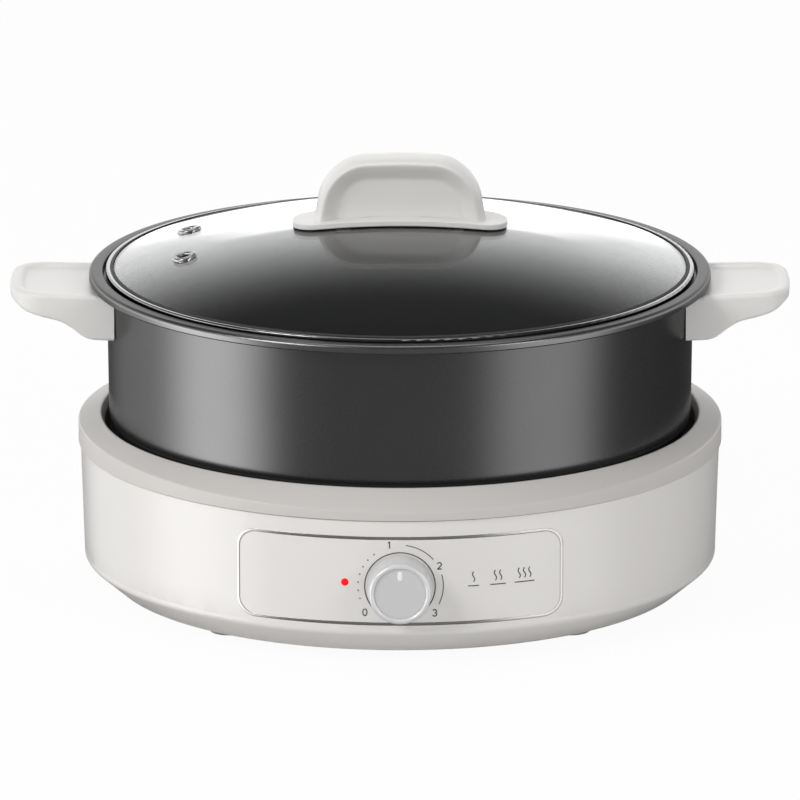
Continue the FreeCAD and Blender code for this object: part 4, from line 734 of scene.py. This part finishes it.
def figure(text, x, z, size):
    """Outlines of a plain figure drawn from strokes on a unit box, centred at (x, z)."""
    around = np.radians(np.linspace(0, 352, 30))
    paths = {
        "0": [np.stack([0.3 * np.sin(around), 0.5 * np.cos(around)], axis=1)],
        "1": [np.array([[-0.18, 0.3], [0.02, 0.5]]), np.array([[0.05, 0.5], [0.05, -0.5]])],
        "2": [
            np.vstack([
                np.stack([0.28 * np.sin(np.radians(np.linspace(-75, 125, 16))),
                          0.22 + 0.28 * np.cos(np.radians(np.linspace(-75, 125, 16)))], axis=1),
                [[-0.28, -0.5]],
            ]),
            np.array([[-0.3, -0.47], [0.32, -0.47]]),
        ],
        "3": [
            np.stack([0.26 * np.sin(np.radians(np.linspace(-70, 170, 18))),
                      0.25 + 0.25 * np.cos(np.radians(np.linspace(-70, 170, 18)))], axis=1),
            np.stack([0.29 * np.sin(np.radians(np.linspace(10, 250, 18))),
                      -0.23 + 0.27 * np.cos(np.radians(np.linspace(10, 250, 18)))], axis=1),
        ],
    }[text]
    return [stroke(path * size + [x, z], 0.16 * size) for path in paths]


def dial_marks():
    """Scale round the knob: dots on the left, two arcs on the right and plain figures from 0 to 3."""
    marks = [disc(*point, DOT_R) for point in arc(SCALE_R, *DOT_DEGREES)]
    marks += [stroke(arc(SWEEP_R, *sweep), LINE_W) for sweep in SWEEPS]
    for text, degrees in FIGURES:
        (x, z), = arc(FIGURE_R, degrees, degrees, 1)
        marks += figure(text, x, z, FIGURE_H)
    return printed("dial_marks", marks)


def heat_icons():
    """Three heat marks right of the knob: one, two and three rising waves over a short line."""
    marks = []
    rise = np.linspace(0, 1, 22)
    swing = WAVE_SWING * np.sin(2 * np.pi * rise)
    for waves, middle in HEAT_MARKS:
        for i in range(waves):
            x = middle + WAVE_APART * (i - (waves - 1) / 2)
            marks.append(stroke(np.stack([x + swing, WAVE_LOW_Z + WAVE_H * rise], axis=1), WAVE_W))
        run = np.linspace(-1.0, 1.0, 12) * (1.6 + 1.1 * waves)
        marks.append(stroke(np.stack([middle + run, np.full(12, HEAT_LINE_Z)], axis=1), WAVE_W))
    return printed("heat_marks", marks)


# Panel's outline, and the (margin, distance proud of the wall) rows of its trim
PANEL_HALF_W = 78.4
PANEL_LOW_Z = 23.2
PANEL_HIGH_Z = 65.4
PANEL_CORNER = 8.0
TRIM_ROWS = (
    (0.04, -0.8), (0.04, 0.0), (0.1, 0.06), (0.25, 0.1),
    (1.35, 0.1), (1.5, 0.06), (1.56, 0.0), (1.56, -0.8),
)
# Painted shadow round the knob's foot: rows of (radius, distance proud of the wall)
KNOB_SHADOW_ROWS = ((17.0, 0.02), (17.05, 0.07), (17.5, 0.07), (17.55, 0.02))


def panel_trim():
    """Slim bright trim round the panel: a low band in the groove, swept along a rounded rectangle."""
    def loop(margin, proud):
        """Outline at a margin outside the panel, on the wall."""
        half, corner = PANEL_HALF_W + margin, PANEL_CORNER + margin
        low, high = PANEL_LOW_Z - margin, PANEL_HIGH_Z + margin
        x, z = spaced(rounded([
            (-half, low, corner), (half, low, corner), (half, high, corner), (-half, high, corner),
        ], steps=16), 360).T
        return np.stack([x, wall_y(x, z, proud), z], axis=1)
    return surface("panel_trim", np.stack([loop(*row) for row in TRIM_ROWS]), True, True, math.radians(60))


def knob_shadow_line():
    """Thin dark line round the knob on the panel, a painted shadow of the knob: rows of (radius, distance
    proud of the wall).
    """
    turn = np.radians(np.linspace(0, 360, 97))[:-1]
    rows = []
    for radius, proud in KNOB_SHADOW_ROWS:
        x, z = radius * np.sin(turn), KNOB_Z + radius * np.cos(turn)
        rows.append(np.stack([x, wall_y(x, z, proud), z], axis=1))
    return surface("knob_shadow_line", np.stack(rows), True, True)


# Materials

def new_material(name):
    """Material with its nodes, its links and its shader."""
    material = bpy.data.materials.new(name)
    material.use_nodes = True
    nodes, links = material.node_tree.nodes, material.node_tree.links
    return material, nodes, links, nodes["Principled BSDF"]


def object_noise(nodes, links, scale, detail):
    """Noise on Object coordinates."""
    where = nodes.new("ShaderNodeTexCoord")
    noise = nodes.new("ShaderNodeTexNoise")
    noise.inputs["Scale"].default_value = scale
    noise.inputs["Detail"].default_value = detail
    links.new(where.outputs["Object"], noise.inputs["Vector"])
    return noise


def ramp(nodes, links, source, low, high, start=0.3, end=0.7):
    """Colour ramp between two colours over a source from 0 to 1."""
    mix = nodes.new("ShaderNodeValToRGB")
    mix.color_ramp.elements[0].position = start
    mix.color_ramp.elements[1].position = end
    mix.color_ramp.elements[0].color = (*low, 1)
    mix.color_ramp.elements[1].color = (*high, 1)
    links.new(source, mix.inputs["Fac"])
    return mix.outputs["Color"]


def grainy(name, colour, vary, rough, rough_vary, grain, grain_depth, metallic=0.0, coat=0.0):
    """Finish with slow colour drift, uneven gloss and a fine moulded or sprayed grain."""
    material, nodes, links, shader = new_material(name)
    slow = object_noise(nodes, links, 14.0, 3.0)
    fine = object_noise(nodes, links, grain, 6.0)
    low = [c * (1 - vary) for c in colour]
    high = [min(1.0, c * (1 + vary)) for c in colour]
    links.new(ramp(nodes, links, slow.outputs["Fac"], low, high), shader.inputs["Base Color"])
    spread = nodes.new("ShaderNodeMapRange")
    spread.inputs["To Min"].default_value = rough - rough_vary
    spread.inputs["To Max"].default_value = rough + rough_vary
    links.new(fine.outputs["Fac"], spread.inputs["Value"])
    links.new(spread.outputs["Result"], shader.inputs["Roughness"])
    bump = nodes.new("ShaderNodeBump")
    bump.inputs["Strength"].default_value = 0.25
    bump.inputs["Distance"].default_value = grain_depth * MM
    links.new(fine.outputs["Fac"], bump.inputs["Height"])
    links.new(bump.outputs["Normal"], shader.inputs["Normal"])
    shader.inputs["Metallic"].default_value = metallic
    shader.inputs["Coat Weight"].default_value = coat
    shader.inputs["Coat Roughness"].default_value = 0.12
    return material


def clear_glass():
    """Clear tempered glass with faint unevenness in its surface."""
    material, nodes, links, shader = new_material("tempered_glass")
    shader.inputs["Base Color"].default_value = (0.93, 0.95, 0.95, 1)
    shader.inputs["Transmission Weight"].default_value = 1.0
    shader.inputs["IOR"].default_value = 1.5
    shader.inputs["Roughness"].default_value = 0.0
    slow = object_noise(nodes, links, 9.0, 2.0)
    bump = nodes.new("ShaderNodeBump")
    bump.inputs["Strength"].default_value = 0.012
    bump.inputs["Distance"].default_value = 1.0 * MM
    links.new(slow.outputs["Fac"], bump.inputs["Height"])
    links.new(bump.outputs["Normal"], shader.inputs["Normal"])
    return material


def lit_red():
    """Red indicator lens that glows, brighter in its middle patches."""
    material, nodes, links, shader = new_material("indicator_red")
    shader.inputs["Base Color"].default_value = (0.5, 0.0, 0.0, 1)
    shader.inputs["Roughness"].default_value = 0.2
    noise = object_noise(nodes, links, 900.0, 2.0)
    glow = ramp(nodes, links, noise.outputs["Fac"], (0.9, 0.0, 0.0), (1.0, 0.0, 0.0))
    links.new(glow, shader.inputs["Emission Color"])
    shader.inputs["Emission Strength"].default_value = 1.1
    return material


def step_up(nodes, links, value, start, end):
    """Even rise of a socket's value from 0 at start to 1 at end, both in millimetres."""
    rise = nodes.new("ShaderNodeMapRange")
    rise.inputs["From Min"].default_value = start * MM
    rise.inputs["From Max"].default_value = end * MM
    links.new(value, rise.inputs["Value"])
    return rise.outputs["Result"]


def blend(nodes, links, share, first, second):
    """Mix of two colours, each a socket or three numbers."""
    mix = nodes.new("ShaderNodeMix")
    mix.data_type = "RGBA"
    links.new(share, mix.inputs[0])
    for colour, socket in ((first, mix.inputs[6]), (second, mix.inputs[7])):
        if isinstance(colour, tuple):
            socket.default_value = (*colour, 1)
        else:
            links.new(colour, socket)
    return mix.outputs[2]


POT_OUTSIDE = (0.125, 0.125, 0.126)
# Painted shade: colour of the pot's inside, far darker than its outside
POT_INSIDE_SHADE = (0.022, 0.022, 0.0225)
# Painted highlight: the lighter colour of the rim's outer edge
POT_LIP_HIGHLIGHT = (0.17, 0.17, 0.17)
POT_METAL = 0.95
POT_EDGE_TINT = 0.55
# Where the painted shade inside the pot and the painted highlight on its lip begin, each as start and end:
# how far inside the wall's outside, above the floor's underside and inside the rim's edge
WALL_FROM, WALL_TO = 1.6, 1.2
FLOOR_FROM, FLOOR_TO = 0.9, 0.6
LIP_FROM, LIP_TO = 1.6, 0.4


def pot_finish():
    """Dark coating with a satin metallic sheen outside, and a lighter lip that is a painted highlight;
    inside, by its distance from the axis and its height, matt and much darker as painted shade."""
    material = grainy("dark_pot_coating_shaded_inside", POT_OUTSIDE, 0.04, 0.28, 0.03, 2600, 0.004)
    nodes, links = material.node_tree.nodes, material.node_tree.links
    shader = nodes["Principled BSDF"]
    outside = shader.inputs["Base Color"].links[0].from_socket
    where = nodes.new("ShaderNodeTexCoord").outputs["Object"]
    flat = nodes.new("ShaderNodeVectorMath")
    flat.operation = "MULTIPLY"
    flat.inputs[1].default_value = (1, 1, 0)
    size = nodes.new("ShaderNodeVectorMath")
    size.operation = "LENGTH"
    split = nodes.new("ShaderNodeSeparateXYZ")
    links.new(where, flat.inputs[0])
    links.new(flat.outputs[0], size.inputs[0])
    links.new(where, split.inputs[0])
    radius = size.outputs["Value"]
    wall = step_up(nodes, links, radius, POT_R_TOP - WALL_FROM, POT_R_TOP - WALL_TO)
    base = step_up(nodes, links, split.outputs["Z"], POT_FLOOR_Z + FLOOR_FROM, POT_FLOOR_Z + FLOOR_TO)
    outside_unshaded = maths(nodes, links, "MAXIMUM", wall, base)
    # Painted highlight: the rim's outer edge is lightened
    lip = step_up(nodes, links, radius, RIM_R - LIP_FROM, RIM_R - LIP_TO)
    lipped = blend(nodes, links, lip, outside, POT_LIP_HIGHLIGHT)
    # Painted shade: inside the wall and above the floor's underside the coating is made much darker, and
    # below it is not metallic or glossy
    links.new(blend(nodes, links, outside_unshaded, POT_INSIDE_SHADE, lipped), shader.inputs["Base Color"])
    links.new(maths(nodes, links, "MULTIPLY", outside_unshaded, POT_METAL), shader.inputs["Metallic"])
    links.new(maths(nodes, links, "MULTIPLY", outside_unshaded, 0.5), shader.inputs["Specular IOR Level"])
    shader.inputs["Specular Tint"].default_value = (POT_EDGE_TINT, POT_EDGE_TINT, POT_EDGE_TINT, 1)
    return material


WARM_WHITE = (0.80, 0.778, 0.755)


def materials():
    """Every finish by the record's slot name, or by its own where it serves a piece of this script."""
    return {
        "base_plastic": grainy("warm_white_gloss", WARM_WHITE, 0.008, 0.30, 0.03, 900, 0.003, coat=0.2),
        "ring_plastic": grainy("grey_beige_satin", (0.600, 0.578, 0.556), 0.010, 0.45, 0.04, 1100, 0.005),
        "handle_plastic": grainy("stone_grey_satin", (0.770, 0.755, 0.735), 0.008, 0.40, 0.04, 1100, 0.005),
        "cover_plastic": grainy("pale_matte_cover", (0.60, 0.59, 0.57), 0.02, 0.55, 0.08, 700, 0.04),
        "pale_rubber": grainy("pale_rubber", (0.58, 0.57, 0.55), 0.04, 0.6, 0.08, 800, 0.03),
        "rubber": grainy("black_rubber", (0.022, 0.022, 0.022), 0.1, 0.6, 0.1, 800, 0.03),
        "pan_steel": grainy("polished_steel", (0.60, 0.60, 0.60), 0.03, 0.18, 0.05, 500, 0.004, 1.0),
        "screw_steel": grainy("plated_steel", (0.45, 0.45, 0.46), 0.05, 0.32, 0.08, 700, 0.01, 1.0),
        "cast_aluminium": grainy("cast_metal", (0.50, 0.50, 0.51), 0.06, 0.45, 0.1, 420, 0.05, 1.0),
        "knob_plastic": grainy("silver_satin", (0.70, 0.70, 0.70), 0.02, 0.36, 0.05, 1500, 0.010, 0.2, 0.1),
        "rim_steel": grainy("dark_rim_steel", (0.16, 0.16, 0.165), 0.04, 0.16, 0.04, 900, 0.003, 1.0),
        "trim": grainy("silver_trim", (0.50, 0.48, 0.465), 0.03, 0.24, 0.04, 900, 0.003, 1.0),
        # Painted shade: steel darker than the polished steel, so that the eyelets' bores read as shaded
        # holes
        "eyelet_steel_painted_shade": grainy("eyelet_steel_painted_shade", (0.36, 0.36, 0.36), 0.03, 0.30, 0.04, 500, 0.002, 1.0),
        # Painted highlight: a lighter silver for the knob's rim
        "knob_rim_highlight": grainy("silver_edge_highlight", (0.78, 0.78, 0.78), 0.02, 0.3, 0.05, 1500, 0.006, 0.2, 0.1),
        "marker_plastic": grainy("bright_white", (0.9, 0.9, 0.9), 0.01, 0.3, 0.05, 900, 0.005),
        "lens_red": lit_red(),
        "lamp_glass": grainy("lamp_amber", (0.7, 0.35, 0.2), 0.1, 0.2, 0.05, 300, 0.01),
        "black_plastic": grainy("black_moulded", (0.03, 0.03, 0.031), 0.1, 0.45, 0.08, 900, 0.03),
        "brass": grainy("brass_pins", (0.62, 0.47, 0.22), 0.05, 0.28, 0.06, 600, 0.006, 1.0),
        "fuse_body": grainy("fuse_tin", (0.5, 0.48, 0.42), 0.05, 0.35, 0.08, 500, 0.01, 1.0),
        "wire_sleeve": grainy("wire_red", (0.35, 0.03, 0.025), 0.1, 0.5, 0.08, 600, 0.02),
        "pot_coating": pot_finish(),
        "lid_glass": clear_glass(),
        # Dark ink for the print, also worn by the painted shadow round the knob
        "ink_and_shadow": grainy("printing_ink_and_shadow", (0.05, 0.048, 0.046), 0.08, 0.5, 0.08, 900, 0.004),
    }


def wear(piece, material):
    """Gives a piece one finish on every face."""
    piece.data.materials.clear()
    piece.data.materials.append(material)


# Nodes whose finish differs from their slot's
NODE_FINISH = {"lid_rim": "rim_steel", "rubber_feet": "pale_rubber"}


def place(piece, body, slot, finish, *nodes):
    """Rides a piece on a body, gives it a finish and lets it stand for CAD nodes; its slot argument is not
    used.
    """
    wear(piece, finish)
    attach(piece, body)
    if nodes:
        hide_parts(*nodes)


def build():
    """Makes every piece and finish."""
    finishes = materials()
    for entry in frame["record"]["subparts"]:
        node = frame["nodes"][entry["node"]]
        wear(node, finishes[NODE_FINISH.get(entry["node"], entry["material_slot"])])
    shell, ring, pot = finishes["base_plastic"], finishes["ring_plastic"], finishes["pot_coating"]
    stone, white, ink_and_shadow = finishes["handle_plastic"], finishes["marker_plastic"], finishes["ink_and_shadow"]
    place(ring_piece(), "base", "ring_plastic", ring, "top_ring")
    place(shell_piece(), "base", "base_plastic", shell, "base_shell")
    place(slant_piece(), "base", "base_plastic", shell)
    place(pot_piece(), "pot", "pot_coating", pot, "pot_shell")
    place(handle_piece("handle_r", 1), "pot", "handle_plastic", stone, "handle_right")
    place(handle_piece("handle_l", -1), "pot", "handle_plastic", stone, "handle_left")
    place(footplate_piece(), "lid", "handle_plastic", stone, "lid_handle_plate")
    place(grip_piece(), "lid", "handle_plastic", stone, "lid_handle_grip")
    place(glass_piece(), "lid", "lid_glass", finishes["lid_glass"], "lid_glass")
    for i, (x, y) in enumerate(EYELETS):
        place(eyelet_piece(i + 1, x, y), "lid", "pan_steel", finishes["eyelet_steel_painted_shade"], "steam_eyelets")
    place(knob_piece(), "knob", "knob_plastic", finishes["knob_plastic"], "knob_cap")
    place(knob_rim(), "knob", "marker_plastic", finishes["knob_rim_highlight"])
    place(panel_trim(), "base", "screw_steel", finishes["trim"])
    place(marker_piece(), "knob", "marker_plastic", white, "knob_marker")
    # The dial's print, the heat marks and the painted shadow round the knob, all in the dark ink
    for piece in (dial_marks(), heat_icons(), knob_shadow_line()):
        place(piece, "base", "black_plastic", ink_and_shadow)


# Studio

CAMERA_AT = 6.3
CAMERA_RISE = 14.85
AIM_Z = 0.094
VIEW_WIDTH = 0.400
SENSOR = 36.0


def camera():
    """Long lens in front of the knob, a little above, aimed at the pot's axis."""
    rise = math.radians(CAMERA_RISE)
    data = bpy.data.cameras.new("camera")
    data.sensor_width = SENSOR
    data.lens = SENSOR * CAMERA_AT / VIEW_WIDTH
    data.clip_end = 100
    eye = bpy.data.objects.new("camera", data)
    back = Vector((0, -math.cos(rise), math.sin(rise)))
    eye.location = Vector((0, 0, AIM_Z)) + back * CAMERA_AT
    eye.rotation_mode = "QUATERNION"
    eye.rotation_quaternion = (-back).to_track_quat("-Z", "Y")
    bpy.context.scene.collection.objects.link(eye)
    bpy.context.scene.camera = eye


# Lamps: name, place, point they face, size and power
LAMPS = (
    ("key", (-2.6, -2.2, 2.4), (0, 0, 0.08), (1.6, 1.6), 74),
    ("fill", (2.6, -2.6, 1.6), (0, 0, 0.08), (1.4, 1.4), 26),
    ("top", (0, 0.4, 3.0), (0, 0, 0.1), (2.2, 2.2), 24),
)


def lamp(name, at, aim, size, power):
    """Soft rectangular lamp at a point, turned to another."""
    data = bpy.data.lights.new(name, "AREA")
    data.shape = "RECTANGLE"
    data.size, data.size_y = size
    data.energy = power
    light = bpy.data.objects.new(name, data)
    light.location = at
    light.rotation_mode = "QUATERNION"
    light.rotation_quaternion = (Vector(aim) - Vector(at)).to_track_quat("-Z", "Y")
    bpy.context.scene.collection.objects.link(light)


def maths(nodes, links, kind, first, second=None):
    """One maths node on sockets or numbers."""
    node = nodes.new("ShaderNodeMath")
    node.operation = kind
    for value, socket in zip((first, second), node.inputs):
        if isinstance(value, (int, float)):
            socket.default_value = value
        elif value is not None:
            links.new(value, socket)
    return node.outputs[0]


def band(nodes, links, value, low, high, soft):
    """One between two limits and zero outside, with soft ends."""
    def edge(start, end):
        """Smooth step of the value from start to end."""
        step = nodes.new("ShaderNodeMapRange")
        step.interpolation_type = "SMOOTHSTEP"
        step.inputs["From Min"].default_value = start
        step.inputs["From Max"].default_value = end
        links.new(value, step.inputs["Value"])
        return step.outputs["Result"]
    return maths(nodes, links, "MULTIPLY", edge(low - soft, low + soft), edge(high + soft, high - soft))


# Soft bright fields that glossy surfaces see low down: azimuth from and to, softness and strength.
# Azimuth is in degrees from the front, positive to the right; height is the sine of the elevation.
FIELDS = (
    (-100, -58, 14.0, 3.6),
    (-150, -104, 12.0, 0.9),
    (-52, 36, 16.0, 0.18),
    (38, 82, 12.0, 1.6),
)
FIELD_SOFT = 0.12
FIELD_LOW = -0.50
FIELD_TOP = 0.15
# Backdrop: where it starts, as height and from front to back; where its brightest part ends, that part's
# extra strength and half width; between which heights it fades; and the light that is everywhere, for
# gloss and for matt surfaces. BEYOND is past any part of a direction, for a band that is open on a side.
BEYOND = 2.0
BACK_LOW = -0.12
BACK_LOW_SOFT = 0.03
BACK_FROM_Y = -0.15
BACK_SOFT_Y = 0.25
BACK_TOP = 0.259
BACK_TOP_SOFT = 0.006
UPWARD_SOFT = 0.02
BACK_EXTRA = 0.95
BACK_HALF = 0.100
BACK_HALF_SOFT = 0.03
BACK_FADE = (0.22, 0.68)
BACK_STRENGTH = 1.35
DARK = 0.11
EVEN = 0.37


def world():
    """White to the camera and even pale light for matt surfaces. Gloss, and what glass mirrors on its inner
    side, see a backdrop, bright behind the object and darker overhead, and bright fields low down."""
    scene_world = bpy.data.worlds.new("studio")
    bpy.context.scene.world = scene_world
    scene_world.use_nodes = True
    nodes, links = scene_world.node_tree.nodes, scene_world.node_tree.links
    background = nodes["Background"]
    background.inputs["Color"].default_value = (1, 1, 1, 1)
    where = nodes.new("ShaderNodeTexCoord")
    split = nodes.new("ShaderNodeSeparateXYZ")
    links.new(where.outputs["Generated"], split.inputs[0])
    x, y, z = split.outputs
    turn = maths(nodes, links, "ARCTAN2", x, maths(nodes, links, "MULTIPLY", y, -1.0))
    degrees = maths(nodes, links, "MULTIPLY", turn, 180 / math.pi)
    fade = nodes.new("ShaderNodeMapRange")
    fade.interpolation_type = "SMOOTHSTEP"
    fade.inputs["From Min"].default_value, fade.inputs["From Max"].default_value = BACK_FADE
    fade.inputs["To Min"].default_value = BACK_STRENGTH
    fade.inputs["To Max"].default_value = 0.0
    links.new(z, fade.inputs["Value"])
    middle = band(nodes, links, x, -BACK_HALF, BACK_HALF, BACK_HALF_SOFT)
    lower = band(nodes, links, z, -BEYOND, BACK_TOP, BACK_TOP_SOFT)
    extra = maths(nodes, links, "MULTIPLY", lower, BACK_EXTRA)
    extra = maths(nodes, links, "MULTIPLY", extra, middle)
    wall = maths(nodes, links, "ADD", fade.outputs["Result"], extra)
    above = band(nodes, links, z, BACK_LOW, BEYOND, BACK_LOW_SOFT)
    behind = band(nodes, links, y, BACK_FROM_Y, BEYOND, BACK_SOFT_Y)
    total = maths(nodes, links, "MULTIPLY", maths(nodes, links, "MULTIPLY", above, behind), wall)
    under = band(nodes, links, z, FIELD_LOW, FIELD_TOP, FIELD_SOFT)
    for first, last, soft, strength in FIELDS:
        field = maths(nodes, links, "MULTIPLY", band(nodes, links, degrees, first, last, soft), under)
        total = maths(nodes, links, "ADD", total, maths(nodes, links, "MULTIPLY", field, strength))
    total = maths(nodes, links, "ADD", total, DARK)
    rays = nodes.new("ShaderNodeLightPath")
    through = rays.outputs["Is Transmission Ray"]
    upward = band(nodes, links, z, 0.0, BEYOND, UPWARD_SOFT)
    mirrored = maths(nodes, links, "MULTIPLY", through, upward)
    glossy = maths(nodes, links, "MAXIMUM", rays.outputs["Is Glossy Ray"], mirrored)
    onward = maths(nodes, links, "SUBTRACT", through, mirrored)
    even = maths(nodes, links, "MULTIPLY", maths(nodes, links, "SUBTRACT", 1.0, glossy), EVEN)
    seen = maths(nodes, links, "ADD", maths(nodes, links, "MULTIPLY", total, glossy), even)
    plain = maths(nodes, links, "MAXIMUM", rays.outputs["Is Camera Ray"], onward)
    keep = maths(nodes, links, "MULTIPLY", seen, maths(nodes, links, "SUBTRACT", 1.0, plain))
    links.new(maths(nodes, links, "ADD", keep, plain), background.inputs["Strength"])


FLOOR_HALF = 12000.0
FLOOR_Z = -0.1
FLOOR_GLOW = 0.95


def floor():
    """Wide pale floor that stays white to the camera but keeps a faint shadow; gloss doesn't see it."""
    half, low = FLOOR_HALF, FLOOR_Z
    corners = np.array([[[-half, -half, low], [half, -half, low]], [[-half, half, low], [half, half, low]]])
    sheet = surface("floor", corners, False, False)
    material, nodes, links, shader = new_material("floor_white")
    shader.inputs["Roughness"].default_value = 0.9
    shader.inputs["Base Color"].default_value = (0.9, 0.9, 0.9, 1)
    rays = nodes.new("ShaderNodeLightPath")
    white = nodes.new("ShaderNodeEmission")
    white.inputs["Strength"].default_value = 1.0
    pick = nodes.new("ShaderNodeMixShader")
    camera_share = maths(nodes, links, "MULTIPLY", rays.outputs["Is Camera Ray"], FLOOR_GLOW)
    links.new(camera_share, pick.inputs["Fac"])
    links.new(shader.outputs[0], pick.inputs[1])
    links.new(white.outputs[0], pick.inputs[2])
    links.new(pick.outputs[0], nodes["Material Output"].inputs["Surface"])
    wear(sheet, material)
    sheet.visible_glossy = False


def studio():
    """Camera, lamps, world and floor."""
    bpy.context.scene.view_settings.view_transform = "Standard"
    camera()
    for name, at, aim, size, power in LAMPS:
        lamp(name, at, aim, size, power)
    world()
    floor()


build()
studio()
